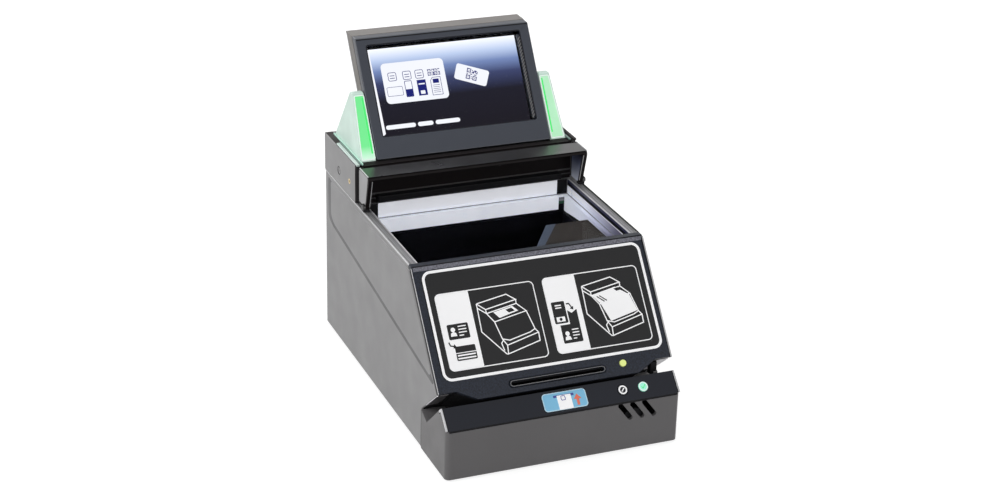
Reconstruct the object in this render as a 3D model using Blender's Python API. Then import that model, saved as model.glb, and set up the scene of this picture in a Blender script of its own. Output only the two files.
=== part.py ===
"""Counter-top passport reader: scan window under a hood, card nose, tilting display and two lit wings.

Metres, +Z up, +X to the right of someone who faces the reader, +Y away from them.
The outlines below are written in the reader's own side view: y from the front of the nose
and z from the underside of the base tray. The reader empty then moves all of it, so that the
origin is at the middle of the footprint, on the surface that the rubber feet stand on.
"""

import math
from collections import namedtuple

import bmesh
import bpy
from mathutils import Vector

# Clearances
GAP = 0.0003
OVERRUN = 0.002

# Body
BODY_WIDTH = 0.140
BODY_DEPTH = 0.212
BODY_HEIGHT = 0.1026
COVER_WALL = 0.0018
REAR_WALL = 0.0022
FLOOR_WALL = 0.0025
FIELD_RISE = 0.0006
FIELD_MARGIN = 0.0035
FIELD_RADIUS = 0.006
FIELD_REAR_share = 0.70
FIELD_FRONT_share = 0.45
FEATHER_LENGTH = 0.008

# Nose
NOSE_FACE_HEIGHT = 0.030
NOSE_PEAK_Y = 0.0095
NOSE_PEAK_Z = 0.0395
NOTCH_Y = 0.0306
NOTCH_Z = 0.0206
NOSE_BACK_Y = 0.0397
NOSE_BACK_Z = 0.0245
NOSE_WALL = 0.0022
NOSE_RADIUS = 0.0027
CAP_THICKNESS = 0.0016
CAP_LAP = 0.004
VENT_WIDTH = 0.003
VENT_FALL = 0.0084
VENT_LEAN = 0.0064
VENT_PITCH = 0.0073
VENT_COUNT = 3
VENT_TOP_share = 0.93
VENT_START_share = 0.238
BADGE_WIDTH = 0.0261
BADGE_HEIGHT = 0.0104
BADGE_RADIUS = 0.002
BADGE_MIDDLE_share = 0.010
STICKER = 0.0003
RING_LIGHT_RADIUS = 0.003
READY_LIGHT_RADIUS = 0.0028
LIGHT_PROUD = 0.0002
RING_LIGHT_share = 0.261
READY_LIGHT_share = 0.351
LIGHT_UP_share = 0.52

# Front panel
PANEL_FOOT_Y = 0.01265
PANEL_FOOT_Z = 0.0467
PANEL_RUN_share = 0.81843
PANEL_WALL = 0.0025
PANEL_LIP = 0.0041
LIP_DROP = 0.006
LIP_HALF_WIDTH_share = 0.346
LIP_CHAMFER = 0.0115
LABEL_MARGIN = 0.0045
LABEL_LOW = 0.0064
LABEL_TOP_MARGIN = 0.0046
LABEL_RADIUS = 0.005
CARD_SLOT_WIDTH = 0.056
CARD_SLOT_HEIGHT = 0.0025
CARD_SLOT_DROP = 0.0007
SLOT_RIM = 0.0008
CARD_LIGHT_RADIUS = 0.0019
CARD_LIGHT_share = 0.285
CARD_LIGHT_UP = 0.0007

# Swipe channel and chip card reader
ROOF_WALL = 0.002
GUIDE_LENGTH = 0.0285
CARD_WIDTH = 0.054
CARD_PASSAGE = 0.0016
CARD_TRAVEL = 0.050
CHIP_READER_WALL = 0.0018
CHIP_READER_ROOF = 0.0048
CHIP_READER_FLOOR = 0.001
CONTACT_BLOCK = 0.0114
CONTACT_BLOCK_HEIGHT = 0.0027
CONTACT_FROM_STOP = 0.0105
CONTACT_SIDE_share = 0.08
PLUNGER_RADIUS = 0.001
PLUNGER_LENGTH = 0.006
PLUNGER_TRAVEL = 0.0015
PLUNGER_SIDE_share = 0.30
HEAD_WIDTH = 0.012
HEAD_LENGTH = 0.007
HEAD_HEIGHT = 0.008
HEAD_PROUD = 0.0004
HEAD_TRAVEL = 0.0008
HEAD_UP = 0.010
HEAD_SIDE_share = 0.10
BRACKET_WALL = 0.001
SPEAKER_RADIUS = 0.009
SPEAKER_DEPTH = 0.005

# Window, glass and chamber
GLASS_DROP = 0.007
GLASS_THICKNESS = 0.003
GASKET_THICKNESS = 0.0009
LEDGE_WIDTH = 0.003
LEDGE_THICKNESS = 0.002
WINDOW_SIDE = 0.0058
TOP_DECK_DEPTH = 0.0615
GASKET_WIDTH = 0.0024
DECK_PLATE = 0.0023
FRAME_SIDE_WALL = 0.0024
ANTENNA_THICKNESS = 0.0016
ANTENNA_WIDTH = 0.0035
CHAMBER_WALL = 0.002
CHAMBER_MARGIN = 0.004
MIRROR_THICKNESS = 0.003
MIRROR_RISE_share = 0.70
MIRROR_RUN_share = 0.718
LENS_HEIGHT_share = 0.38
LENS_RADIUS = 0.008
LENS_LENGTH = 0.012
LENS_FLANGE = 0.020
LENS_FLANGE_THICKNESS = 0.0022
LENS_GLASS_RADIUS = 0.0055
LENS_GLASS_THICKNESS = 0.0016
CAMERA_BOARD = 0.032
BOARD_THICKNESS = 0.0016
LAMP_STRIP_HEIGHT = 0.010
LAMP_END_ROOM = 0.008
LAMP_COUNT = 5
LAMP_SIZE = 0.0032
LAMP_PROUD = 0.0011

# Base, rear and electronics
FOOT_HEIGHT = 0.001
FOOT_RADIUS = 0.006
FOOT_SEAT = 0.0006
FOOT_INSET_SIDE = 0.014
FOOT_INSET_FRONT = 0.012
FOOT_INSET_REAR = 0.016
BOSS_WIDTH = 0.004
BOSS_LENGTH = 0.008
BOSS_HEIGHT = 0.012
BOSS_PLACES_share = (0.30, 0.62, 0.94)
STANDOFF_HEIGHT = 0.005
STANDOFF_RADIUS = 0.003
BOARD_MARGIN = 0.008
DATA_PORT_WIDTH = 0.012
DATA_PORT_HEIGHT = 0.011
DATA_PORT_DEPTH = 0.016
DATA_PORT_share = -0.18
PORT_SHELL = 0.0008
PORT_MOUTH_DEPTH = 0.008
POWER_JACK_WIDTH = 0.009
POWER_JACK_HEIGHT = 0.011
POWER_JACK_DEPTH = 0.014
POWER_JACK_BORE = 0.003
POWER_JACK_share = 0.0
LOCK_PLATE_WIDTH = 0.012
LOCK_PLATE_HEIGHT = 0.008
LOCK_PLATE_THICKNESS = 0.0015
LOCK_SLOT_WIDTH = 0.007
LOCK_SLOT_HEIGHT = 0.003
LOCK_share = 0.25

# Header
HEADER_DEPTH = 0.0578
HEADER_HEIGHT = 0.0237
HEADER_WALL = 0.0022
HEADER_LEDGE = 0.002
NECK_RECESS = 0.004
NECK_LEAD = 0.0026
DECK_THICKNESS = 0.0045
SIDE_SCREW_FROM_REAR = 0.0273
SIDE_SCREW_UP = 0.0092
SIDE_SCREW_RADIUS = 0.0024
SIDE_SEAT = 0.0012
STOP_BAR_HEIGHT = 0.0037
STOP_BAR_DEPTH = 0.0048
STOP_BAR_LIFT = 0.0019
STOP_BAR_SIDE_GAP = 0.006

# Hood
HOOD_DEPTH = 0.0214
HOOD_TIP_LEAN = 0.00595
HOOD_LIFT = 0.002
HOOD_SIDE_INSET = 0.0013
HOOD_WALL = 0.0024
HOOD_ROOF = 0.002
HOOD_EDGE_RADIUS = 0.0025
HINGE_RADIUS = 0.002
HINGE_LEAD = 0.005
HINGE_BORE = 0.0011
HINGE_ROD_RADIUS = 0.0008
KNUCKLE_LENGTH = 0.0077
HOOD_FOOT_DEPTH = 0.0034
HOOD_FOOT_HEIGHT = 0.0046

# Display
DISPLAY_HEIGHT = 0.0741
DISPLAY_DEPTH = 0.014
DISPLAY_LEAN = math.radians(33.9)
DISPLAY_SETBACK = 0.0031
BEZEL_DEPTH = 0.005
BEZEL_LIP = 0.0027
SCREEN_SIDE = 0.006
SCREEN_LOW = 0.0135
SCREEN_HIGH = 0.0042
SCREEN_RADIUS = 0.0012
SCREEN_POCKET_SIDE = 0.0028
SCREEN_POCKET_LOW = 0.0116
SCREEN_POCKET_HIGH = 0.0018
SCREEN_GLASS = 0.001
SCREEN_PANEL = 0.0026
BACK_WALL = 0.002
BOARD_WELL_LOW = 0.017
BOARD_WELL_SIDE = 0.005
BACK_CHAMFER_Z = 0.0077
BACK_CHAMFER_Y = 0.0182
TILT_UP = 0.010
TILT_DEEP = 0.0104
TILT_ROD_RADIUS = 0.001
TILT_ROD_OVERHANG = 0.0035
TILT_EAR_RADIUS = 0.0022
TILT_EAR_WIDTH = 0.003
TILT_EAR_share = 0.286
TILT_EAR_SPREAD = 0.0052
TILT_FOOT_THICKNESS = 0.001
TILT_FOOT_LENGTH = 0.009
DECK_POCKET_DEPTH = 0.0026
DECK_POCKET_LEAD = 0.0014
DECK_POCKET_BACK = 0.023

# Wings
WING_WIDTH = 0.0092
WING_SIDE = 0.0051
WING_SETBACK = 0.0038
WING_LENGTH = 0.049
WING_HEIGHT = 0.0343
WING_TOP_LENGTH = 0.0043
WING_SEAT = 0.0015
WING_RADIUS = 0.001
WING_DISPLAY_GAP = 0.0005
WING_FOOT_HEIGHT = 0.001
WING_FOOT_INSET = 0.0006
WING_FOOT_SETBACK = 0.0008
WING_WELL = 0.0055
WING_WELL_LENGTH = 0.034
WING_BOARD_MARGIN = 0.002
WING_BOARD_LENGTH = 0.012

# Facets
ARC_STEPS = 4
ROUND_SIDES = 20
SMOOTH_ANGLE = math.radians(32)

# Derived places in the side view
HALF = BODY_WIDTH / 2
COVER_HALF = HALF - FIELD_RISE
PANEL_TOP_Y = PANEL_FOOT_Y + (BODY_HEIGHT - PANEL_FOOT_Z) * PANEL_RUN_share
PANEL_RISE = Vector((PANEL_TOP_Y - PANEL_FOOT_Y, BODY_HEIGHT - PANEL_FOOT_Z))
PANEL_LENGTH = PANEL_RISE.length
PANEL_UP = PANEL_RISE.normalized()
PANEL_IN = Vector((PANEL_UP.y, -PANEL_UP.x))
FACE_UP = Vector((math.sin(DISPLAY_LEAN), math.cos(DISPLAY_LEAN)))
FACE_IN = Vector((math.cos(DISPLAY_LEAN), -math.sin(DISPLAY_LEAN)))
CAP_RISE = Vector((NOSE_PEAK_Y, NOSE_PEAK_Z - NOSE_FACE_HEIGHT))
SLOPE_RUN = Vector((NOSE_PEAK_Y - NOTCH_Y, NOSE_PEAK_Z - NOTCH_Z))
GLASS_TOP = BODY_HEIGHT - GLASS_DROP
GLASS_LOW = GLASS_TOP - GLASS_THICKNESS
LEDGE_TOP = GLASS_LOW - GAP - GASKET_THICKNESS - GAP
LEDGE_LOW = LEDGE_TOP - LEDGE_THICKNESS
ANTENNA_LOW = LEDGE_LOW - GAP - ANTENNA_THICKNESS
CHAMBER_TOP = ANTENNA_LOW - GAP
CHAMBER_LOW = FLOOR_WALL + GAP
FRAME_TOP = BODY_HEIGHT - GAP
FRAME_HALF = HALF - COVER_WALL - GAP
WINDOW_HALF = HALF - WINDOW_SIDE
WINDOW_FRONT_Y = PANEL_TOP_Y + PANEL_LIP
WINDOW_BACK_Y = BODY_DEPTH - TOP_DECK_DEPTH
LEDGE_HALF = WINDOW_HALF - LEDGE_WIDTH
INNER_BACK_Y = BODY_DEPTH - REAR_WALL - GAP
CHAMBER_HALF = LEDGE_HALF + GAP
READER_START = PANEL_WALL + GAP
READER_END = READER_START + CARD_TRAVEL + CHIP_READER_WALL + PLUNGER_TRAVEL
READER_HALF = CARD_WIDTH / 2 + GAP + CHIP_READER_WALL
READER_LOW = -CARD_SLOT_DROP - CARD_PASSAGE / 2 - CHIP_READER_FLOOR
READER_HIGH = -CARD_SLOT_DROP + CARD_PASSAGE / 2 + CHIP_READER_ROOF
READER_REACH_Y = PANEL_FOOT_Y + PANEL_IN.x * READER_END + PANEL_UP.x * READER_HIGH
CHAMBER_FRONT_Y = max(WINDOW_FRONT_Y + LEDGE_WIDTH, READER_REACH_Y + 2 * GAP + CHAMBER_WALL)
CHAMBER_BACK_Y = WINDOW_BACK_Y - LEDGE_WIDTH
CHAMBER_DEPTH = CHAMBER_BACK_Y - CHAMBER_FRONT_Y
CHAMBER_HEIGHT = CHAMBER_TOP - CHAMBER_LOW
HEADER_LOW = BODY_HEIGHT + GAP
HEADER_TOP_Z = BODY_HEIGHT + HEADER_HEIGHT
HEADER_FRONT_Y = BODY_DEPTH - HEADER_DEPTH
NECK_Y = HEADER_FRONT_Y - NECK_LEAD
TRAY_NECK = HALF - 4 * BOSS_WIDTH
DECK_LOW = HEADER_TOP_Z - DECK_THICKNESS
SIDE_SCREW_Y = BODY_DEPTH - SIDE_SCREW_FROM_REAR
SIDE_SCREW_Z = BODY_HEIGHT + SIDE_SCREW_UP
HINGE_Y = HEADER_FRONT_Y - HINGE_LEAD
HINGE_Z = HEADER_TOP_Z - HINGE_RADIUS - GAP
HOOD_FRONT_Y = HEADER_FRONT_Y - HOOD_DEPTH
HOOD_TIP_Y = HOOD_FRONT_Y + HOOD_TIP_LEAN
HOOD_HALF = HALF - HOOD_SIDE_INSET
HOOD_INNER = HOOD_HALF - HOOD_WALL
DISPLAY_HALF = HALF - WING_SIDE - WING_WIDTH - WING_DISPLAY_GAP
DISPLAY_FOOT_Y = HEADER_FRONT_Y + DISPLAY_SETBACK
DISPLAY_FOOT_Z = HEADER_TOP_Z + GAP
DISPLAY_TOP_Z = HEADER_TOP_Z + DISPLAY_HEIGHT * FACE_UP.y
WING_FRONT_Y = HEADER_FRONT_Y + WING_SETBACK
WING_BACK_Y = WING_FRONT_Y + WING_LENGTH
WING_FOOT_FRONT_Y = HEADER_FRONT_Y + WING_FOOT_SETBACK
REACH = max(
    BODY_DEPTH,
    DISPLAY_FOOT_Y + DISPLAY_HEIGHT * FACE_UP.x + DISPLAY_DEPTH / FACE_IN.x,
)

Plane = namedtuple("Plane", "origin across up out")


def plane_in_side_view(origin, up, out):
    """A plane that holds the X axis, given by a point and two directions in the side view."""
    return Plane(
        Vector((0, *origin)), Vector((1, 0, 0)), Vector((0, *up)), Vector((0, *out))
    )


SIDE = Plane(Vector(), Vector((0, 1, 0)), Vector((0, 0, 1)), Vector((1, 0, 0)))
PLAN = Plane(Vector(), Vector((1, 0, 0)), Vector((0, 1, 0)), Vector((0, 0, 1)))
FRONT = Plane(Vector(), Vector((1, 0, 0)), Vector((0, 0, 1)), Vector((0, 1, 0)))
PANEL = plane_in_side_view((PANEL_FOOT_Y, PANEL_FOOT_Z), PANEL_UP, PANEL_IN)
FACE = plane_in_side_view((DISPLAY_FOOT_Y, HEADER_TOP_Z), FACE_UP, FACE_IN)
CAP = plane_in_side_view(
    (0, NOSE_FACE_HEIGHT),
    CAP_RISE.normalized(),
    (CAP_RISE.normalized().y, -CAP_RISE.normalized().x),
)
SLOPE = plane_in_side_view(
    (NOTCH_Y, NOTCH_Z),
    SLOPE_RUN.normalized(),
    (SLOPE_RUN.normalized().y, -SLOPE_RUN.normalized().x),
)

# Finishes: base colour, roughness, metallic
FINISHES = {
    "grey_case": ((0.150, 0.148, 0.152), 0.50, 0.0),
    "panel": ((0.020, 0.022, 0.031), 0.42, 0.0),
    "gloss_black": ((0.010, 0.011, 0.018), 0.15, 0.0),
    "dark_case": ((0.042, 0.038, 0.037), 0.45, 0.0),
    "display_case": ((0.130, 0.120, 0.112), 0.48, 0.0),
    "bezel": ((0.020, 0.022, 0.030), 0.35, 0.0),
    "inner_black": ((0.012, 0.012, 0.013), 0.70, 0.0),
    "diffuser": ((0.800, 0.800, 0.850), 0.60, 0.0),
    "label": ((0.018, 0.018, 0.019), 0.40, 0.0),
    "badge": ((0.090, 0.350, 0.620), 0.35, 0.0),
    "glass": ((0.700, 0.780, 0.800), 0.03, 0.0),
    "green_light": ((0.180, 0.780, 0.330), 0.25, 0.0),
    "clear_green": ((0.550, 0.820, 0.700), 0.10, 0.0),
    "mint_light": ((0.280, 0.800, 0.560), 0.30, 0.0),
    "yellow_light": ((0.780, 0.800, 0.220), 0.30, 0.0),
    "silver_light": ((0.450, 0.450, 0.470), 0.30, 0.0),
    "rubber": ((0.020, 0.020, 0.020), 0.85, 0.0),
    "steel": ((0.550, 0.560, 0.580), 0.30, 1.0),
    "brass": ((0.780, 0.600, 0.280), 0.30, 1.0),
    "aluminium": ((0.600, 0.610, 0.620), 0.35, 1.0),
    "board": ((0.010, 0.110, 0.045), 0.45, 0.0),
    "screen": ((0.100, 0.130, 0.350), 0.10, 0.0),
    "mirror": ((0.850, 0.860, 0.880), 0.03, 1.0),
}


def clear_scene():
    for obj in list(bpy.data.objects):
        bpy.data.objects.remove(obj)


def empty(name, place, parent=None):
    """An empty at a place in the reader's own coordinates."""
    obj = bpy.data.objects.new(name, None)
    bpy.context.collection.objects.link(obj)
    obj.parent = parent
    obj.location = place
    return obj


def meet(first, second):
    """Where two lines of the side view cross; a line is a point and a direction."""
    (p, d), (q, e) = first, second
    turn = d.x * e.y - d.y * e.x
    along = ((q.x - p.x) * e.y - (q.y - p.y) * e.x) / turn
    return p + d * along


def signed_area(points):
    pairs = zip(points, points[1:] + points[:1])
    return sum(a[0] * b[1] - b[0] * a[1] for a, b in pairs) / 2


def inset(points, distances):
    """The outline with each side moved inward by its own distance. Side i starts at point i."""
    points = [Vector(p) for p in points]
    turn = 1 if signed_area(points) > 0 else -1
    lines = []
    for a, b, distance in zip(points, points[1:] + points[:1], distances):
        along = (b - a).normalized()
        inward = Vector((-along.y, along.x)) * turn
        lines.append((a + inward * distance, along))
    return [meet(lines[i - 1], lines[i]) for i in range(len(lines))]


def rounded(points, radii):
    """The outline with an arc of the given radius at each point; radius 0 leaves the corner."""
    points = [Vector(p) for p in points]
    outline = []
    for i, (corner, radius) in enumerate(zip(points, radii)):
        if radius <= 0:
            outline.append(corner)
            continue
        before = (points[i - 1] - corner).normalized()
        after = (points[(i + 1) % len(points)] - corner).normalized()
        half = before.angle(after) / 2
        centre = corner + (before + after).normalized() * (radius / math.sin(half))
        start = corner + before * (radius / math.tan(half)) - centre
        end = corner + after * (radius / math.tan(half)) - centre
        first = math.atan2(start.y, start.x)
        sweep = (math.atan2(end.y, end.x) - first + math.pi) % (2 * math.pi) - math.pi
        for step in range(ARC_STEPS + 1):
            angle = first + sweep * step / ARC_STEPS
            outline.append(centre + Vector((math.cos(angle), math.sin(angle))) * radius)
    return outline


def rectangle(low, high, radius=0):
    corners = [low, (high[0], low[1]), high, (low[0], high[1])]
    return rounded(corners, [radius] * 4)


def grown(low, high):
    """A rectangle larger by the clearance all round, for the hole that a piece stands in."""
    return rectangle((low[0] - GAP, low[1] - GAP), (high[0] + GAP, high[1] + GAP))


def circle(centre, radius, sides=ROUND_SIDES):
    steps = [2 * math.pi * i / sides for i in range(sides)]
    return [
        Vector((centre[0] + radius * math.cos(a), centre[1] + radius * math.sin(a)))
        for a in steps
    ]


def capsule(start, end, radius):
    """A slot outline with round ends."""
    start, end = Vector(start), Vector(end)
    along = math.atan2(end.y - start.y, end.x - start.x)
    outline = []
    for centre, turn in ((start, math.pi / 2), (end, -math.pi / 2)):
        for step in range(2 * ARC_STEPS + 1):
            angle = along + turn + math.pi * step / (2 * ARC_STEPS)
            outline.append(centre + Vector((math.cos(angle), math.sin(angle))) * radius)
    return outline


def new_object(name, mesh, parent):
    obj = bpy.data.objects.new(name, mesh)
    bpy.context.collection.objects.link(obj)
    obj.parent = parent
    if parent is not READER:
        obj.location = -parent.location
    return obj


def prism_mesh(bodies, plane):
    """A mesh of closed prisms; each body is (outline, low, high) along the plane's out axis."""
    bm = bmesh.new()
    for outline, low, high in bodies:
        rings = []
        for level in (low, high):
            base = plane.origin + plane.out * level
            rings.append(
                [bm.verts.new(base + plane.across * p[0] + plane.up * p[1]) for p in outline]
            )
        bm.faces.new(rings[0])
        bm.faces.new(rings[1])
        for i in range(len(outline)):
            j = (i + 1) % len(outline)
            bm.faces.new((rings[0][i], rings[0][j], rings[1][j], rings[1][i]))
    bmesh.ops.recalc_face_normals(bm, faces=bm.faces)
    mesh = bpy.data.meshes.new("prism")
    bm.to_mesh(mesh)
    bm.free()
    return mesh


def piece(name, finish, bodies, plane=SIDE, parent=None):
    """A named piece made of one or more prisms that don't touch."""
    obj = new_object(name, prism_mesh(bodies, plane), parent or READER)
    colour, roughness, metallic = FINISHES[finish]
    material = bpy.data.materials.new(name)
    material.use_nodes = True
    shader = material.node_tree.nodes["Principled BSDF"]
    shader.inputs["Base Color"].default_value = (*colour, 1)
    shader.inputs["Roughness"].default_value = roughness
    shader.inputs["Metallic"].default_value = metallic
    obj.data.materials.append(material)
    obj.data.shade_smooth()
    obj.data.set_sharp_from_angle(angle=SMOOTH_ANGLE)
    return obj


def shape(target, operation, bodies, plane=SIDE):
    """Cuts from the piece, adds to it, or keeps only what lies inside the prisms."""
    for body in bodies:
        count = len(target.modifiers)
        tool = new_object(f"{target.name}_tool_{count}", prism_mesh([body], plane), target.parent)
        tool.hide_render = True
        tool.display_type = "WIRE"
        modifier = target.modifiers.new(f"{operation.lower()}_{count}", "BOOLEAN")
        modifier.operation = operation
        modifier.solver = "EXACT"
        modifier.object = tool


def cut(target, bodies, plane=SIDE):
    shape(target, "DIFFERENCE", bodies, plane)


def add(target, bodies, plane=SIDE):
    shape(target, "UNION", bodies, plane)


def keep(target, bodies, plane=SIDE):
    shape(target, "INTERSECT", bodies, plane)


def block(low, high):
    """A plan rectangle with its low and high level, for the PLAN plane."""
    return rectangle(low[:2], high[:2]), low[2], high[2]


def both_sides(low, high):
    """The same stretch of X on the right and, mirrored, on the left."""
    return ((low, high), (-high, -low))


def on_face(depth, z):
    """The point of the side view at a depth behind the display's face, at a height."""
    run = depth / FACE_IN.x + (z - HEADER_TOP_Z) * math.tan(DISPLAY_LEAN)
    return Vector((DISPLAY_FOOT_Y + run, z))


def nose_outline():
    return [
        (0, 0),
        (0, NOSE_FACE_HEIGHT),
        (NOSE_PEAK_Y, NOSE_PEAK_Z),
        (NOTCH_Y, NOTCH_Z),
        (NOSE_BACK_Y - GAP, NOSE_BACK_Z - GAP),
        (NOSE_BACK_Y - GAP, 0),
    ]


def nose_plan(grow):
    """The nose seen from above, its two front corners round."""
    low = (-HALF - grow, -grow)
    high = (HALF + grow, NOSE_BACK_Y + OVERRUN)
    corners = [low, (high[0], low[1]), high, (low[0], high[1])]
    radius = NOSE_RADIUS + grow
    return rounded(corners, (radius, radius, 0, 0))


def cap_outline():
    """Side view of the cap: over the slanted face and the peak, down the channel's front wall."""
    lap = Vector((NOSE_PEAK_Y, NOSE_PEAK_Z)) - SLOPE_RUN.normalized() * CAP_LAP
    outer = [Vector((0, NOSE_FACE_HEIGHT)), Vector((NOSE_PEAK_Y, NOSE_PEAK_Z)), lap]
    rise, slope = CAP_RISE.normalized(), SLOPE_RUN.normalized()
    inward = Vector((rise.y, -rise.x)) * CAP_THICKNESS
    under = Vector((-slope.y, slope.x)) * CAP_THICKNESS
    crest = meet((outer[1] + inward, rise), (outer[1] + under, slope))
    shelf = meet((outer[0] + inward, rise), (outer[0], Vector((1, 0))))
    return [*outer, lap + under, crest, shelf]


def make_nose():
    nose = piece("nose_cover", "grey_case", [(nose_outline(), -HALF, HALF)])
    keep(nose, [(nose_plan(0), -OVERRUN, NOSE_PEAK_Z + OVERRUN)], PLAN)
    buried = NOSE_WALL + CAP_THICKNESS
    walls = (NOSE_WALL, buried, NOSE_WALL, NOSE_WALL, NOSE_WALL, -OVERRUN)
    inner = HALF - NOSE_WALL
    cut(nose, [(inset(nose_outline(), walls), -inner, inner)])
    cut(nose, [(inset(cap_outline(), [-GAP] * 6), -HALF - OVERRUN, HALF + OVERRUN)])
    tray_way = block(
        (-TRAY_NECK - GAP, NOSE_BACK_Y - NOSE_WALL - OVERRUN, -OVERRUN),
        (TRAY_NECK + GAP, NOSE_BACK_Y + OVERRUN, FLOOR_WALL + GAP),
    )
    cut(nose, [tray_way], PLAN)
    reader_way = grown((-READER_HALF, READER_LOW), (READER_HALF, READER_HIGH))
    cut(nose, [(reader_way, 0, READER_END)], PANEL)
    top = NOSE_FACE_HEIGHT * VENT_TOP_share
    for i in range(VENT_COUNT):
        x = BODY_WIDTH * VENT_START_share + i * VENT_PITCH
        slot = capsule((x, top), (x + VENT_LEAN, top - VENT_FALL), VENT_WIDTH / 2)
        cut(nose, [(slot, -OVERRUN, NOSE_WALL + OVERRUN)], FRONT)
    across, along = HEAD_WIDTH / 2 + GAP, HEAD_LENGTH / 2 + GAP
    x = BODY_WIDTH * HEAD_SIDE_share
    window = rectangle((x - across, HEAD_UP - along), (x + across, HEAD_UP + along))
    cut(nose, [(window, -NOSE_WALL - OVERRUN, OVERRUN)], SLOPE)

    cap = piece("nose_cap", "gloss_black", [(cap_outline(), -HALF, HALF)])
    keep(cap, [(nose_plan(0), 0, NOSE_PEAK_Z + OVERRUN)], PLAN)
    middle = BODY_WIDTH * BADGE_MIDDLE_share
    half = BADGE_WIDTH / 2
    foot = (CAP_RISE.length - BADGE_HEIGHT) / 2
    seat = rectangle(
        (middle - half - GAP, foot - GAP),
        (middle + half + GAP, foot + BADGE_HEIGHT + GAP),
        BADGE_RADIUS,
    )
    cut(cap, [(seat, -OVERRUN, STICKER + GAP)], CAP)
    badge = rectangle((middle - half, foot), (middle + half, foot + BADGE_HEIGHT), BADGE_RADIUS)
    piece("card_badge", "badge", [(badge, 0, STICKER)], CAP)
    up = CAP_RISE.length * LIGHT_UP_share
    lights = (
        ("ring_light", "silver_light", RING_LIGHT_share, RING_LIGHT_RADIUS),
        ("ready_light", "mint_light", READY_LIGHT_share, READY_LIGHT_RADIUS),
    )
    for name, finish, share, radius in lights:
        place = (BODY_WIDTH * share, up)
        cut(cap, [(circle(place, radius + GAP), -OVERRUN, CAP_THICKNESS + OVERRUN)], CAP)
        piece(name, finish, [(circle(place, radius), -LIGHT_PROUD, CAP_THICKNESS)], CAP)


def panel_outline():
    """Side view of the front panel, with its turned-over lip at the top."""
    inner = Vector((PANEL_FOOT_Y, PANEL_FOOT_Z)) + PANEL_IN * PANEL_WALL
    drop = PANEL_UP * LIP_DROP
    shelf = BODY_HEIGHT - PANEL_WALL
    corner = meet((inner, PANEL_UP), (Vector((0, shelf)), Vector((1, 0))))
    return [
        Vector((PANEL_FOOT_Y, PANEL_FOOT_Z)) - drop,
        (PANEL_TOP_Y, BODY_HEIGHT),
        (WINDOW_FRONT_Y, BODY_HEIGHT),
        (WINDOW_FRONT_Y, shelf),
        corner,
        inner - drop,
    ]


def lip_ends():
    """Where the slanted end of the panel's lowered middle starts and ends, along X."""
    foot = BODY_WIDTH * LIP_HALF_WIDTH_share
    return foot, foot + LIP_CHAMFER


def make_front_panel():
    panel = piece("front_panel", "panel", [(panel_outline(), -HALF, HALF)])
    foot, head = lip_ends()
    past = LIP_CHAMFER * OVERRUN / LIP_DROP
    for side in (-1, 1):
        end = [
            (side * (HALF + OVERRUN), 0),
            (side * head, 0),
            (side * (foot - past), -LIP_DROP - OVERRUN),
            (side * (HALF + OVERRUN), -LIP_DROP - OVERRUN),
        ]
        cut(panel, [(end, -OVERRUN, PANEL_WALL + OVERRUN)], PANEL)
    label_half = HALF - LABEL_MARGIN
    low, high = LABEL_LOW, PANEL_LENGTH - LABEL_TOP_MARGIN
    seat = rectangle(
        (-label_half - GAP, low - GAP), (label_half + GAP, high + GAP), LABEL_RADIUS
    )
    cut(panel, [(seat, -OVERRUN, STICKER + GAP)], PANEL)
    label = rectangle((-label_half, low), (label_half, high), LABEL_RADIUS)
    piece("instruction_label", "label", [(label, 0, STICKER)], PANEL)

    half, rise = CARD_SLOT_WIDTH / 2, CARD_SLOT_HEIGHT / 2
    ends = (-half + rise, -CARD_SLOT_DROP), (half - rise, -CARD_SLOT_DROP)
    through = (-OVERRUN, PANEL_WALL + OVERRUN)
    cut(panel, [(capsule(*ends, rise + SLOT_RIM + GAP), *through)], PANEL)
    rim = capsule(*ends, rise + SLOT_RIM)
    slot = capsule(*ends, rise)
    bezel = piece("card_slot_rim", "inner_black", [(rim, -GAP, PANEL_WALL)], PANEL)
    cut(bezel, [(slot, *through)], PANEL)

    place = (BODY_WIDTH * CARD_LIGHT_share, CARD_LIGHT_UP)
    cut(panel, [(circle(place, CARD_LIGHT_RADIUS + GAP), *through)], PANEL)
    lens = (circle(place, CARD_LIGHT_RADIUS), -GAP, PANEL_WALL)
    piece("card_light", "yellow_light", [lens], PANEL)


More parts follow.
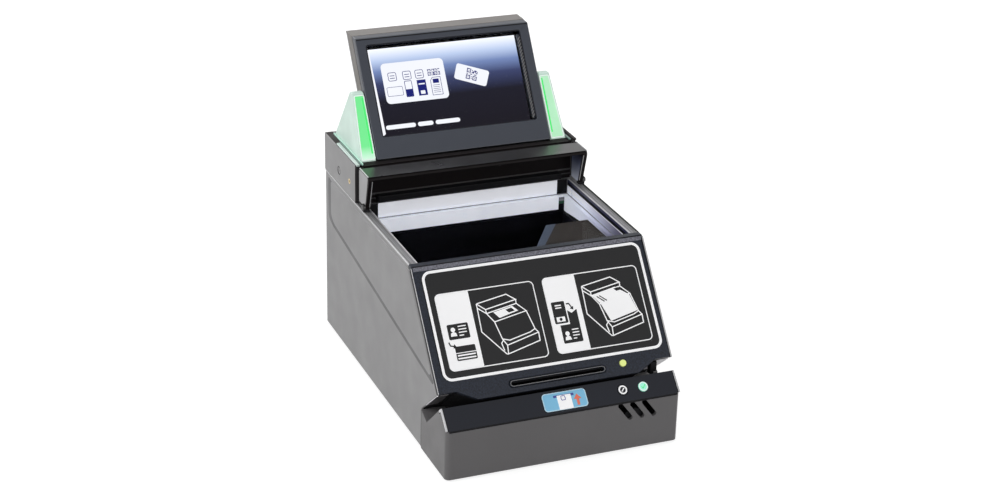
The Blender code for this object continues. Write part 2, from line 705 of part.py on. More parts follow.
def make_side_covers():
    """Each cover stands behind the edge of the front panel, its outer face with a raised field."""
    behind = Vector((PANEL_FOOT_Y, PANEL_FOOT_Z)) + PANEL_IN * (PANEL_WALL + GAP)
    corner = meet((behind, PANEL_UP), (Vector((0, BODY_HEIGHT)), Vector((1, 0))))
    lip_back = WINDOW_FRONT_Y + GAP
    shelf = BODY_HEIGHT - PANEL_WALL - GAP
    under = meet((behind, PANEL_UP), (Vector((0, shelf)), Vector((1, 0))))
    outline = [
        behind,
        under,
        (lip_back, shelf),
        (lip_back, BODY_HEIGHT),
        (BODY_DEPTH, BODY_HEIGHT),
        (BODY_DEPTH, 0),
        (NOSE_BACK_Y, 0),
        (NOSE_BACK_Y, NOSE_BACK_Z),
    ]
    rear = BODY_DEPTH - 2 * FIELD_MARGIN
    top = BODY_HEIGHT - FIELD_MARGIN
    front = Vector((corner.x, top)) - PANEL_UP * (top - BODY_HEIGHT * FIELD_FRONT_share)
    field = rounded(
        [
            (rear, top),
            (rear, BODY_HEIGHT * FIELD_REAR_share),
            (front.x + FEATHER_LENGTH, BODY_HEIGHT * FIELD_FRONT_share),
            (lip_back + FEATHER_LENGTH, top),
        ],
        (FIELD_RADIUS / 2, FIELD_RADIUS, FIELD_RADIUS, FIELD_RADIUS / 2),
    )
    for name, side in (("left_side_cover", -1), ("right_side_cover", 1)):
        low, high = sorted((side * COVER_HALF, side * (HALF - COVER_WALL)))
        cover = piece(name, "grey_case", [(outline, low, high)])
        raised = sorted((side * (COVER_HALF - FIELD_RISE), side * HALF))
        add(cover, [(field, *raised)])
        inner = side * (HALF - COVER_WALL + FIELD_RISE)
        for share in BOSS_PLACES_share:
            y = BODY_DEPTH * share
            far = side * (HALF - COVER_WALL - BOSS_WIDTH)
            span = sorted((inner, far))
            low_corner = (span[0], y - BOSS_LENGTH / 2, FLOOR_WALL + GAP)
            high_corner = (span[1], y + BOSS_LENGTH / 2, FLOOR_WALL + GAP + BOSS_HEIGHT)
            add(cover, [block(low_corner, high_corner)], PLAN)


def foot_centres():
    x = HALF - FOOT_INSET_SIDE
    front, rear = FOOT_INSET_FRONT, BODY_DEPTH - FOOT_INSET_REAR
    return {
        "foot_front_left": (-x, front),
        "foot_front_right": (x, front),
        "foot_rear_left": (-x, rear),
        "foot_rear_right": (x, rear),
    }


def make_base():
    nose_half = HALF - NOSE_WALL - GAP
    front = NOSE_WALL + GAP
    step = NOSE_BACK_Y + GAP
    outline = [
        (-nose_half, front),
        (nose_half, front),
        (nose_half, step),
        (FRAME_HALF, step),
        (FRAME_HALF, INNER_BACK_Y),
        (-FRAME_HALF, INNER_BACK_Y),
        (-FRAME_HALF, step),
        (-nose_half, step),
    ]
    notch_low = NOSE_BACK_Y - NOSE_WALL - 2 * GAP
    tray = piece("base_tray", "inner_black", [(outline, 0, FLOOR_WALL)], PLAN)
    wall_room = (-HALF, notch_low, -OVERRUN), (HALF, NOSE_BACK_Y + GAP, FLOOR_WALL + OVERRUN)
    for low_x, high_x in both_sides(TRAY_NECK, wall_room[1][0]):
        slot = block((low_x, *wall_room[0][1:]), (high_x, *wall_room[1][1:]))
        cut(tray, [slot], PLAN)
    sink = (FLOOR_WALL, FLOOR_WALL + STANDOFF_HEIGHT)
    for x, y in board_corners():
        add(tray, [(circle((x, y), STANDOFF_RADIUS), sink[0] - OVERRUN / 2, sink[1])], PLAN)
    for centre in foot_centres().values():
        cut(tray, [(circle(centre, FOOT_RADIUS + GAP), -OVERRUN, FOOT_SEAT)], PLAN)
    for name, centre in foot_centres().items():
        foot = (circle(centre, FOOT_RADIUS), -FOOT_HEIGHT, FOOT_SEAT - GAP)
        piece(name, "rubber", [foot], PLAN)


def board_corners():
    """Centres of the main board's four standoffs, between the chamber and the rear panel."""
    x = FRAME_HALF - BOSS_WIDTH - BOARD_MARGIN
    low = CHAMBER_BACK_Y + CHAMBER_WALL + BOARD_MARGIN + LENS_LENGTH
    high = INNER_BACK_Y - BOARD_MARGIN
    return [(-x, low), (x, low), (x, high), (-x, high)]


def make_rear():
    rear = rectangle((-FRAME_HALF, 0), (FRAME_HALF, FRAME_TOP))
    span = (BODY_DEPTH - REAR_WALL, BODY_DEPTH)
    panel = piece("rear_panel", "grey_case", [(rear, *span)], FRONT)
    through = (span[0] - OVERRUN, span[1] + OVERRUN)
    corners = board_corners()
    half = corners[1][0] + STANDOFF_RADIUS
    board_low = FLOOR_WALL + STANDOFF_HEIGHT + GAP
    board_top = board_low + BOARD_THICKNESS
    front = corners[0][1] - STANDOFF_RADIUS
    back = INNER_BACK_Y - GAP
    board = block((-half, front, board_low), (half, back, board_top))
    piece("main_board", "board", [board], PLAN)

    x = BODY_WIDTH * DATA_PORT_share
    low = (x - DATA_PORT_WIDTH / 2, board_top + GAP)
    high = (x + DATA_PORT_WIDTH / 2, board_top + GAP + DATA_PORT_HEIGHT)
    cut(panel, [(grown(low, high), *through)], FRONT)
    port_span = (BODY_DEPTH - DATA_PORT_DEPTH, BODY_DEPTH)
    port = piece("data_port", "steel", [(rectangle(low, high), *port_span)], FRONT)
    mouth_low = (low[0] + PORT_SHELL, low[1] + PORT_SHELL)
    mouth_high = (high[0] - PORT_SHELL, high[1] - PORT_SHELL)
    mouth_span = (BODY_DEPTH - PORT_MOUTH_DEPTH, BODY_DEPTH + OVERRUN)
    cut(port, [(rectangle(mouth_low, mouth_high), *mouth_span)], FRONT)

    x = BODY_WIDTH * POWER_JACK_share
    low = (x - POWER_JACK_WIDTH / 2, board_top + GAP)
    high = (x + POWER_JACK_WIDTH / 2, board_top + GAP + POWER_JACK_HEIGHT)
    cut(panel, [(grown(low, high), *through)], FRONT)
    jack_span = (BODY_DEPTH - POWER_JACK_DEPTH, BODY_DEPTH)
    jack = piece("power_jack", "gloss_black", [(rectangle(low, high), *jack_span)], FRONT)
    centre = (x, (low[1] + high[1]) / 2)
    cut(jack, [(circle(centre, POWER_JACK_BORE), *mouth_span)], FRONT)

    x = BODY_WIDTH * LOCK_share
    z = board_top + GAP + LOCK_PLATE_HEIGHT
    plate_low = (x - LOCK_PLATE_WIDTH / 2, z - LOCK_PLATE_HEIGHT / 2)
    plate_high = (x + LOCK_PLATE_WIDTH / 2, z + LOCK_PLATE_HEIGHT / 2)
    slot_low = (x - LOCK_SLOT_WIDTH / 2, z - LOCK_SLOT_HEIGHT / 2)
    slot_high = (x + LOCK_SLOT_WIDTH / 2, z + LOCK_SLOT_HEIGHT / 2)
    slot = rectangle(slot_low, slot_high, LOCK_SLOT_HEIGHT / 3)
    cut(panel, [(slot, *through)], FRONT)
    inside = span[0] - GAP
    plate_span = (inside - LOCK_PLATE_THICKNESS, inside)
    outline = rectangle(plate_low, plate_high)
    plate = piece("lock_slot_plate", "steel", [(outline, *plate_span)], FRONT)
    cut(plate, [(slot, plate_span[0] - OVERRUN, plate_span[1] + OVERRUN)], FRONT)


def make_channel():
    """Roof of the swipe channel, the guide under it and the magnetic head in the nose."""
    foot = Vector((PANEL_FOOT_Y, PANEL_FOOT_Z)) + PANEL_IN * READER_START
    back = Vector((NOSE_BACK_Y, NOSE_BACK_Z))
    turn = (back - foot).normalized()
    lift = Vector((-turn.y, turn.x)) * ROOF_WALL
    lift_back = meet((foot + lift, turn), (Vector((NOSE_BACK_Y + ROOF_WALL, 0)), Vector((0, 1))))
    outline = [
        foot,
        back,
        (NOSE_BACK_Y, FLOOR_WALL + GAP),
        (NOSE_BACK_Y + ROOF_WALL, FLOOR_WALL + GAP),
        lift_back,
        foot + lift,
    ]
    roof = piece("channel_roof", "inner_black", [(outline, -FRAME_HALF, FRAME_HALF)])
    passage = grown((-READER_HALF, READER_LOW), (READER_HALF, READER_HIGH))
    cut(roof, [(passage, 0, READER_END + OVERRUN)], PANEL)

    foot_x, head_x = lip_ends()
    shoulder = -GAP
    guide_end = READER_START + GUIDE_LENGTH
    guide = [
        (-head_x, shoulder),
        (-foot_x, -LIP_DROP),
        (foot_x, -LIP_DROP),
        (head_x, shoulder),
        (READER_HALF + 2 * GAP, shoulder),
        (READER_HALF + 2 * GAP, READER_LOW - GAP),
        (-READER_HALF - 2 * GAP, READER_LOW - GAP),
        (-READER_HALF - 2 * GAP, shoulder),
    ]
    piece("swipe_guide", "inner_black", [(guide, READER_START, guide_end)], PANEL)

    x = BODY_WIDTH * HEAD_SIDE_share
    across, along = HEAD_WIDTH / 2, HEAD_LENGTH / 2
    outline = rectangle((x - across, HEAD_UP - along), (x + across, HEAD_UP + along))
    head = (outline, HEAD_PROUD - HEAD_HEIGHT, HEAD_PROUD)
    piece("magnetic_head", "steel", [head], SLOPE, HEAD_SEAT)
    inner = -NOSE_WALL - GAP
    deep = HEAD_PROUD - HEAD_HEIGHT - HEAD_TRAVEL - GAP
    wide = across + GAP + BRACKET_WALL
    wrap = rectangle((x - wide, HEAD_UP - along), (x + wide, HEAD_UP + along))
    bracket = piece("head_bracket", "steel", [(wrap, deep - BRACKET_WALL, inner)], SLOPE)
    room = rectangle(
        (x - across - GAP, HEAD_UP - along - OVERRUN),
        (x + across + GAP, HEAD_UP + along + OVERRUN),
    )
    cut(bracket, [(room, deep, inner + OVERRUN)], SLOPE)


def make_chip_reader():
    stop = READER_START + CARD_TRAVEL
    box = rectangle((-READER_HALF, READER_LOW), (READER_HALF, READER_HIGH))
    housing = piece("chip_reader", "inner_black", [(box, READER_START, READER_END)], PANEL)
    centre, rise = -CARD_SLOT_DROP, CARD_PASSAGE / 2
    card_half = CARD_WIDTH / 2 + GAP
    passage = rectangle((-card_half, centre - rise), (card_half, centre + rise))
    cut(housing, [(passage, READER_START - OVERRUN, stop)], PANEL)
    x = BODY_WIDTH * CONTACT_SIDE_share
    block_half = CONTACT_BLOCK / 2
    block_end = stop - CONTACT_FROM_STOP
    well = rectangle(
        (x - block_half - GAP, centre),
        (x + block_half + GAP, centre + rise + CONTACT_BLOCK_HEIGHT + GAP),
    )
    cut(housing, [(well, block_end - CONTACT_BLOCK - GAP, block_end + GAP)], PANEL)
    contacts = rectangle(
        (x - block_half, centre + rise), (x + block_half, centre + rise + CONTACT_BLOCK_HEIGHT)
    )
    piece("chip_contacts", "brass", [(contacts, block_end - CONTACT_BLOCK, block_end)], PANEL)
    place = (BODY_WIDTH * PLUNGER_SIDE_share / 2, centre + rise / 2)
    bore = circle(place, PLUNGER_RADIUS + GAP)
    cut(housing, [(bore, stop - OVERRUN, READER_END + OVERRUN)], PANEL)
    pin_start = stop - PLUNGER_TRAVEL - GAP
    pin = (circle(place, PLUNGER_RADIUS), pin_start, pin_start + PLUNGER_LENGTH)
    piece("card_plunger", "steel", [pin], PANEL, PLUNGER_SEAT)


def make_speaker():
    x = BODY_WIDTH * VENT_START_share + VENT_PITCH + VENT_LEAN / 2
    z = NOSE_FACE_HEIGHT * VENT_TOP_share - VENT_FALL / 2 - SPEAKER_RADIUS
    centre = (x, max(z, FLOOR_WALL + SPEAKER_RADIUS + GAP))
    front = NOSE_WALL + GAP
    can = (circle(centre, SPEAKER_RADIUS), front, front + SPEAKER_DEPTH)
    piece("speaker", "inner_black", [can], FRONT)


def make_window():
    """Frame round the scan window with the deck behind it, then glass, gasket and antenna."""
    behind = Vector((PANEL_FOOT_Y, PANEL_FOOT_Z)) + PANEL_IN * (PANEL_WALL + GAP)
    shelf = BODY_HEIGHT - PANEL_WALL - GAP
    front = meet((behind, PANEL_UP), (Vector((0, shelf)), Vector((1, 0)))).x
    body = block((-FRAME_HALF, front, LEDGE_LOW), (FRAME_HALF, INNER_BACK_Y, FRAME_TOP))
    frame = piece("top_frame", "grey_case", [body], PLAN)
    lip = block(
        (-HALF, front - OVERRUN, shelf), (HALF, WINDOW_FRONT_Y + GAP, BODY_HEIGHT + OVERRUN)
    )
    cut(frame, [lip], PLAN)
    window = block(
        (-WINDOW_HALF, WINDOW_FRONT_Y + GAP, LEDGE_TOP),
        (WINDOW_HALF, WINDOW_BACK_Y, BODY_HEIGHT + OVERRUN),
    )
    cut(frame, [window], PLAN)
    ledge = block(
        (-LEDGE_HALF, CHAMBER_FRONT_Y, LEDGE_LOW - OVERRUN),
        (LEDGE_HALF, CHAMBER_BACK_Y, LEDGE_TOP + OVERRUN),
    )
    cut(frame, [ledge], PLAN)
    under_deck = block(
        (-FRAME_HALF + FRAME_SIDE_WALL, WINDOW_BACK_Y + FRAME_SIDE_WALL, LEDGE_LOW - OVERRUN),
        (FRAME_HALF - FRAME_SIDE_WALL, INNER_BACK_Y + OVERRUN, FRAME_TOP - DECK_PLATE),
    )
    cut(frame, [under_deck], PLAN)
    cable_way = block(
        (-LENS_FLANGE / 2, HEADER_FRONT_Y + LENS_FLANGE, LEDGE_TOP),
        (LENS_FLANGE / 2, HEADER_FRONT_Y + LENS_FLANGE * 3 / 2, BODY_HEIGHT + OVERRUN),
    )
    cut(frame, [cable_way], PLAN)

    glass_low = (-WINDOW_HALF + GAP, WINDOW_FRONT_Y + 2 * GAP, GLASS_LOW)
    glass_high = (WINDOW_HALF - GAP, WINDOW_BACK_Y - GAP, GLASS_TOP)
    piece("document_glass", "glass", [block(glass_low, glass_high)], PLAN)
    gasket = piece(
        "glass_gasket",
        "rubber",
        [block((*glass_low[:2], LEDGE_TOP + GAP), (*glass_high[:2], GLASS_LOW - GAP))],
        PLAN,
    )
    inner_low = (glass_low[0] + GASKET_WIDTH, glass_low[1] + GASKET_WIDTH, LEDGE_TOP - OVERRUN)
    inner_high = (glass_high[0] - GASKET_WIDTH, glass_high[1] - GASKET_WIDTH, GLASS_TOP)
    cut(gasket, [block(inner_low, inner_high)], PLAN)

    ring_low = (-LEDGE_HALF - ANTENNA_WIDTH, CHAMBER_FRONT_Y - ANTENNA_WIDTH, ANTENNA_LOW)
    ring_high = (
        LEDGE_HALF + ANTENNA_WIDTH,
        CHAMBER_BACK_Y + ANTENNA_WIDTH,
        ANTENNA_LOW + ANTENNA_THICKNESS,
    )
    antenna = piece("antenna_board", "board", [block(ring_low, ring_high)], PLAN)
    hole = block(
        (-LEDGE_HALF, CHAMBER_FRONT_Y, ANTENNA_LOW - OVERRUN),
        (LEDGE_HALF, CHAMBER_BACK_Y, LEDGE_LOW),
    )
    cut(antenna, [hole], PLAN)


def make_chamber():
    """The light box under the glass, the folding mirror, the lamp strips and the camera."""
    front, back = CHAMBER_FRONT_Y, CHAMBER_BACK_Y
    span = CHAMBER_HALF + CHAMBER_WALL
    low_corner = (-span, front - CHAMBER_WALL, CHAMBER_LOW)
    high_corner = (span, back + CHAMBER_WALL, CHAMBER_TOP)
    chamber = piece("light_chamber", "diffuser", [block(low_corner, high_corner)], PLAN)
    room_low = (-CHAMBER_HALF, front, CHAMBER_LOW - OVERRUN)
    cut(chamber, [block(room_low, (CHAMBER_HALF, back, CHAMBER_TOP + OVERRUN))], PLAN)
    lens_z = CHAMBER_LOW + CHAMBER_HEIGHT * LENS_HEIGHT_share
    hole = circle((0, lens_z), LENS_RADIUS + GAP)
    cut(chamber, [(hole, back - OVERRUN, back + CHAMBER_WALL + OVERRUN)], FRONT)

    half = CHAMBER_HALF - GAP
    rise = CHAMBER_HEIGHT * MIRROR_RISE_share
    run = CHAMBER_DEPTH * MIRROR_RUN_share
    lean = math.atan2(rise, run)
    top = CHAMBER_LOW + rise
    near = front + GAP
    mirror = [
        (near, top),
        (near, top - MIRROR_THICKNESS / math.cos(lean)),
        (near + run - MIRROR_THICKNESS / math.sin(lean), CHAMBER_LOW),
        (near + run, CHAMBER_LOW),
    ]
    piece("fold_mirror", "mirror", [(mirror, -half, half)])

    middle = (front + back) / 2
    strip_top = CHAMBER_TOP - CHAMBER_MARGIN
    strip_low = strip_top - LAMP_STRIP_HEIGHT
    strip_length = CHAMBER_DEPTH - 2 * LAMP_END_ROOM
    inner = half - BOARD_THICKNESS
    behind = (-half, back - GAP - BOARD_THICKNESS, strip_low)
    lamps = piece("lamp_frame", "board", [block(behind, (half, back - GAP, strip_top))], PLAN)
    for low, high in both_sides(inner, half):
        strip_front = (low, middle - strip_length / 2, strip_low)
        add(lamps, [block(strip_front, (high, back - GAP, strip_top))], PLAN)
    z = (strip_low + strip_top) / 2
    for low, high in both_sides(inner - LAMP_PROUD, inner + BOARD_THICKNESS / 2):
        for i in range(LAMP_COUNT):
            y = middle + strip_length * ((2 * i + 1) / (2 * LAMP_COUNT) - 1 / 2)
            lamp_low = (y - LAMP_SIZE / 2, z - LAMP_SIZE / 2)
            lamp_high = (y + LAMP_SIZE / 2, z + LAMP_SIZE / 2)
            add(lamps, [(rectangle(lamp_low, lamp_high), low, high)])

    flange_front = back + CHAMBER_WALL + GAP
    flange_back = flange_front + LENS_FLANGE_THICKNESS
    centre = (0, lens_z)
    barrel_front = flange_front - LENS_LENGTH
    tube = (circle(centre, LENS_RADIUS), barrel_front, flange_back)
    barrel = piece("lens_barrel", "inner_black", [tube], FRONT)
    reach = LENS_FLANGE / 2
    flange = rectangle((-reach, lens_z - reach), (reach, lens_z + reach))
    add(barrel, [(flange, flange_front, flange_back)], FRONT)
    seat_end = barrel_front + LENS_GLASS_THICKNESS
    seat = (circle(centre, LENS_GLASS_RADIUS + GAP), barrel_front - OVERRUN, seat_end)
    cut(barrel, [seat], FRONT)
    bore = (circle(centre, LENS_GLASS_RADIUS - PORT_SHELL), barrel_front, flange_back + OVERRUN)
    cut(barrel, [bore], FRONT)
    lens = (circle(centre, LENS_GLASS_RADIUS), barrel_front, seat_end - GAP)
    piece("front_lens", "glass", [lens], FRONT)
    board_reach = CAMERA_BOARD / 2
    board = rectangle((-board_reach, lens_z - board_reach), (board_reach, lens_z + board_reach))
    camera_span = (flange_back + GAP, flange_back + GAP + BOARD_THICKNESS)
    piece("camera_board", "board", [(board, *camera_span)], FRONT)


def make_header():
    """Housing with a recessed neck and two hinge knuckles, its deck, screws and document stop."""
    body = block((-HALF, NECK_Y, HEADER_LOW), (HALF, BODY_DEPTH, HEADER_TOP_Z))
    housing = piece("header_housing", "grey_case", [body], PLAN)
    for low_x, high_x in both_sides(HALF - NECK_RECESS, HALF + OVERRUN):
        recess = block(
            (low_x, NECK_Y - OVERRUN, HEADER_LOW - OVERRUN),
            (high_x, HEADER_FRONT_Y, HEADER_TOP_Z + OVERRUN),
        )
        cut(housing, [recess], PLAN)
    ledge_half = HALF - HEADER_WALL - HEADER_LEDGE
    deck_front = HEADER_FRONT_Y + HEADER_WALL
    inside = block(
        (-ledge_half, deck_front + HEADER_LEDGE, HEADER_LOW - OVERRUN),
        (ledge_half, BODY_DEPTH - HEADER_WALL - HEADER_LEDGE, HEADER_TOP_Z + OVERRUN),
    )
    cut(housing, [inside], PLAN)
    deck_room = block(
        (-HALF + HEADER_WALL, HEADER_FRONT_Y, DECK_LOW - GAP),
        (HALF - HEADER_WALL, BODY_DEPTH - HEADER_WALL, HEADER_TOP_Z + OVERRUN),
    )
    cut(housing, [deck_room], PLAN)
    outer = HALF - NECK_RECESS
    knuckle_low = outer - KNUCKLE_LENGTH
    for low_x, high_x in both_sides(knuckle_low, outer):
        add(housing, [(circle((HINGE_Y, HINGE_Z), HINGE_RADIUS), low_x, high_x)])
        arm_low = (HINGE_Y, HINGE_Z - HINGE_RADIUS / 2)
        arm_high = (NECK_Y + HEADER_WALL / 2, HINGE_Z + HINGE_RADIUS / 2)
        add(housing, [(rectangle(arm_low, arm_high), low_x, high_x)])
        bore = circle((HINGE_Y, HINGE_Z), HINGE_BORE)
        cut(housing, [(bore, low_x - OVERRUN, high_x + OVERRUN)])
    place = (SIDE_SCREW_Y, SIDE_SCREW_Z)
    for low_x, high_x in both_sides(HALF - SIDE_SEAT, HALF + OVERRUN):
        cut(housing, [(circle(place, SIDE_SCREW_RADIUS + GAP), low_x, high_x)])
    names = ("header_screw_right", "header_screw_left")
    for name, span_x in zip(names, both_sides(HALF - SIDE_SEAT + GAP, HALF - GAP)):
        piece(name, "steel", [(circle(place, SIDE_SCREW_RADIUS), *span_x)])

    deck_half = HALF - HEADER_WALL - GAP
    deck = piece(
        "header_deck",
        "dark_case",
        [
            block(
                (-deck_half, HEADER_FRONT_Y + GAP, DECK_LOW),
                (deck_half, BODY_DEPTH - HEADER_WALL - GAP, HEADER_TOP_Z),
            )
        ],
        PLAN,
    )
    pocket_half = DISPLAY_HALF + WING_DISPLAY_GAP / 2
    pocket = block(
        (-pocket_half, DISPLAY_FOOT_Y - DECK_POCKET_LEAD, HEADER_TOP_Z - DECK_POCKET_DEPTH),
        (pocket_half, DISPLAY_FOOT_Y + DECK_POCKET_BACK, HEADER_TOP_Z + OVERRUN),
    )
    cut(deck, [pocket], PLAN)
    low_x, high_x = wing_span()
    middle = (WING_FRONT_Y + WING_BACK_Y) / 2
    for span_x in both_sides(low_x - GAP, high_x + GAP):
        seat = block(
            (span_x[0], WING_FRONT_Y - GAP, HEADER_TOP_Z - WING_SEAT),
            (span_x[1], WING_BACK_Y + GAP, HEADER_TOP_Z + OVERRUN),
        )
        cut(deck, [seat], PLAN)
    wing_middle = (low_x + high_x) / 2
    for span_x in both_sides(wing_middle - WING_WELL / 2, wing_middle + WING_WELL / 2):
        well = block(
            (span_x[0], middle - WING_WELL_LENGTH / 2, DECK_LOW - OVERRUN),
            (span_x[1], middle + WING_WELL_LENGTH / 2, HEADER_TOP_Z),
        )
        cut(deck, [well], PLAN)

    bar_half = WINDOW_HALF - STOP_BAR_SIDE_GAP
    bar_low = BODY_HEIGHT + STOP_BAR_LIFT
    bar = block(
        (-bar_half, NECK_Y - GAP - STOP_BAR_DEPTH, bar_low),
        (bar_half, NECK_Y - GAP, bar_low + STOP_BAR_HEIGHT),
    )
    piece("document_stop", "dark_case", [bar], PLAN)


def make_hood():
    low = BODY_HEIGHT + HOOD_LIFT
    rear = HINGE_Y + HINGE_RADIUS
    profile = rounded(
        [(HOOD_FRONT_Y, HEADER_TOP_Z), (HOOD_TIP_Y, low), (rear, low), (rear, HEADER_TOP_Z)],
        (HOOD_EDGE_RADIUS, 0, 0, HINGE_RADIUS),
    )
    hood = piece("hood", "dark_case", [(profile, -HOOD_HALF, HOOD_HALF)], SIDE, HOOD_AXIS)
    roof_low = HEADER_TOP_Z - HOOD_ROOF
    before = HOOD_FRONT_Y - HOOD_EDGE_RADIUS - OVERRUN
    room = [
        (before, roof_low),
        (before, low - OVERRUN),
        (rear + OVERRUN, low - OVERRUN),
        (rear + OVERRUN, HEADER_TOP_Z + OVERRUN),
        (HINGE_Y, HEADER_TOP_Z + OVERRUN),
        (HINGE_Y, roof_low),
    ]
    cut(hood, [(room, -HOOD_INNER, HOOD_INNER)])
    outer = HALF - NECK_RECESS
    knuckle_low = outer - KNUCKLE_LENGTH - GAP
    barrel_half = knuckle_low - GAP
    axis = (HINGE_Y, HINGE_Z)
    add(hood, [(circle(axis, HINGE_RADIUS), -barrel_half, barrel_half)])
    notch = rectangle(
        (HINGE_Y - HINGE_RADIUS - GAP, roof_low - OVERRUN),
        (HINGE_Y + OVERRUN, HEADER_TOP_Z + OVERRUN),
    )
    for low_x, high_x in both_sides(barrel_half + GAP, HOOD_INNER):
        cut(hood, [(notch, low_x, high_x)])
    rod_end = outer - GAP
    reach = barrel_half + OVERRUN
    cut(hood, [(circle(axis, HINGE_BORE), -reach, reach)])
    rod = (circle(axis, HINGE_ROD_RADIUS), -rod_end, rod_end)
    piece("hood_hinge_rod", "steel", [rod])

    foot_low = BODY_HEIGHT + GAP
    foot_back = HOOD_TIP_Y + HOOD_FOOT_DEPTH
    pad = rectangle((HOOD_TIP_Y, foot_low), (foot_back, low - GAP))
    tab = rectangle(
        (HOOD_TIP_Y, foot_low), (foot_back, foot_low + HOOD_FOOT_HEIGHT), HOOD_FOOT_DEPTH / 3
    )
    for name, side in (("hood_foot_left", -1), ("hood_foot_right", 1)):
        pad_x = sorted((side * HOOD_INNER, side * HALF))
        tab_x = sorted((side * (HOOD_HALF + GAP), side * HALF))
        foot = piece(name, "rubber", [(pad, *pad_x)], SIDE, HOOD_AXIS)
        add(foot, [(tab, *tab_x)])


def tilt_place():
    """The display's tilt axis in the side view."""
    foot = Vector((DISPLAY_FOOT_Y, HEADER_TOP_Z))
    return foot + FACE_UP * TILT_UP + FACE_IN * TILT_DEEP


def upper_arc(centre, radius):
    """The upper half circle about a point of the side view, from front to rear."""
    angles = [math.pi * (1 - i / (2 * ARC_STEPS)) for i in range(2 * ARC_STEPS + 1)]
    return [
        (centre.x + radius * math.cos(a), centre.y + radius * math.sin(a)) for a in angles
    ]


def make_display():
    top, low = DISPLAY_TOP_Z, DISPLAY_FOOT_Z
    bezel_outline = [
        on_face(0, low),
        on_face(0, top),
        on_face(BEZEL_DEPTH, top),
        on_face(BEZEL_DEPTH, low),
    ]
    half = DISPLAY_HALF
    bezel = piece("display_bezel", "bezel", [(bezel_outline, -half, half)], SIDE, TILT_AXIS)
    opening = rectangle(
        (-half + SCREEN_SIDE, SCREEN_LOW),
        (half - SCREEN_SIDE, DISPLAY_HEIGHT - SCREEN_HIGH),
        SCREEN_RADIUS,
    )
    cut(bezel, [(opening, -OVERRUN, BEZEL_DEPTH + OVERRUN)], FACE)
    pocket_half = half - SCREEN_POCKET_SIDE
    pocket_high = DISPLAY_HEIGHT - SCREEN_POCKET_HIGH - BEZEL_DEPTH * math.tan(DISPLAY_LEAN) / 2
    pocket = rectangle((-pocket_half, SCREEN_POCKET_LOW), (pocket_half, pocket_high))
    cut(bezel, [(pocket, BEZEL_LIP, BEZEL_DEPTH + OVERRUN)], FACE)

    glass = rectangle(
        (-pocket_half + GAP, SCREEN_POCKET_LOW + GAP), (pocket_half - GAP, pocket_high - GAP)
    )
    glass_start = BEZEL_LIP + GAP
    glass_end = glass_start + SCREEN_GLASS
    piece("screen_glass", "glass", [(glass, glass_start, glass_end)], FACE, TILT_AXIS)
    panel_start = glass_end + GAP
    panel_end = panel_start + SCREEN_PANEL
    piece("screen_panel", "screen", [(glass, panel_start, panel_end)], FACE, TILT_AXIS)

    rim = BEZEL_DEPTH + GAP
    chamfer_z = HEADER_TOP_Z + BACK_CHAMFER_Z
    back_outline = [
        on_face(rim, low),
        on_face(rim, top),
        on_face(DISPLAY_DEPTH, top),
        on_face(DISPLAY_DEPTH, chamfer_z),
        (DISPLAY_FOOT_Y + BACK_CHAMFER_Y, low),
    ]
    back = piece("display_back", "display_case", [(back_outline, -half, half)], SIDE, TILT_AXIS)
    well = rectangle((-pocket_half, SCREEN_POCKET_LOW), (pocket_half, pocket_high))
    cut(back, [(well, rim - OVERRUN, panel_end + GAP)], FACE)
    floor = DISPLAY_DEPTH - BACK_WALL
    board_half = pocket_half - BOARD_WELL_SIDE
    board_high = pocket_high - BOARD_WELL_SIDE
    board_well = rectangle((-board_half, BOARD_WELL_LOW), (board_half, board_high))
    cut(back, [(board_well, rim, floor)], FACE)
    board_start = panel_end + 2 * GAP
    board_end = board_start + BOARD_THICKNESS
    board = rectangle(
        (-board_half + GAP, BOARD_WELL_LOW + GAP), (board_half - GAP, board_high - GAP)
    )
    piece("display_board", "board", [(board, board_start, board_end)], FACE, TILT_AXIS)
    post = STANDOFF_RADIUS
    for x in (-board_half + 2 * post, board_half - 2 * post):
        for s in (BOARD_WELL_LOW + 2 * post, board_high - 2 * post):
            stub = (circle((x, s), post), board_end + GAP, floor + BACK_WALL / 2)
            add(back, [stub], FACE)

    pivot = tilt_place()
    ear = BODY_WIDTH * TILT_EAR_share
    foot_z = HEADER_TOP_Z - DECK_POCKET_DEPTH
    opening = [
        (pivot.x - TILT_EAR_SPREAD, low - OVERRUN),
        *upper_arc(pivot, TILT_EAR_RADIUS + GAP),
        (pivot.x + TILT_EAR_SPREAD, low - OVERRUN),
    ]
    stem = [
        (pivot.x - TILT_EAR_RADIUS, foot_z + GAP),
        *upper_arc(pivot, TILT_EAR_RADIUS),
        (pivot.x + TILT_EAR_RADIUS, foot_z + GAP),
    ]
    rod_end = ear + TILT_EAR_WIDTH + TILT_ROD_OVERHANG
    bore = circle(pivot, TILT_ROD_RADIUS + GAP)
    cut(back, [(bore, -rod_end - GAP, rod_end + GAP)])
    plate_low = (-ear - TILT_EAR_WIDTH, pivot.x - TILT_FOOT_LENGTH / 2, foot_z + GAP)
    plate_high = (
        ear + TILT_EAR_WIDTH,
        pivot.x + TILT_FOOT_LENGTH / 2,
        foot_z + GAP + TILT_FOOT_THICKNESS,
    )
    bracket = piece("tilt_bracket", "steel", [block(plate_low, plate_high)], PLAN)
    for low_x, high_x in both_sides(ear, ear + TILT_EAR_WIDTH):
        for target in (bezel, back):
            cut(target, [(opening, low_x - GAP, high_x + GAP)])
        add(bracket, [(stem, low_x, high_x)])
        cut(bracket, [(bore, low_x - OVERRUN, high_x + OVERRUN)])
    rod = (circle(pivot, TILT_ROD_RADIUS), -rod_end, rod_end)
    piece("tilt_rod", "steel", [rod], SIDE, TILT_AXIS)


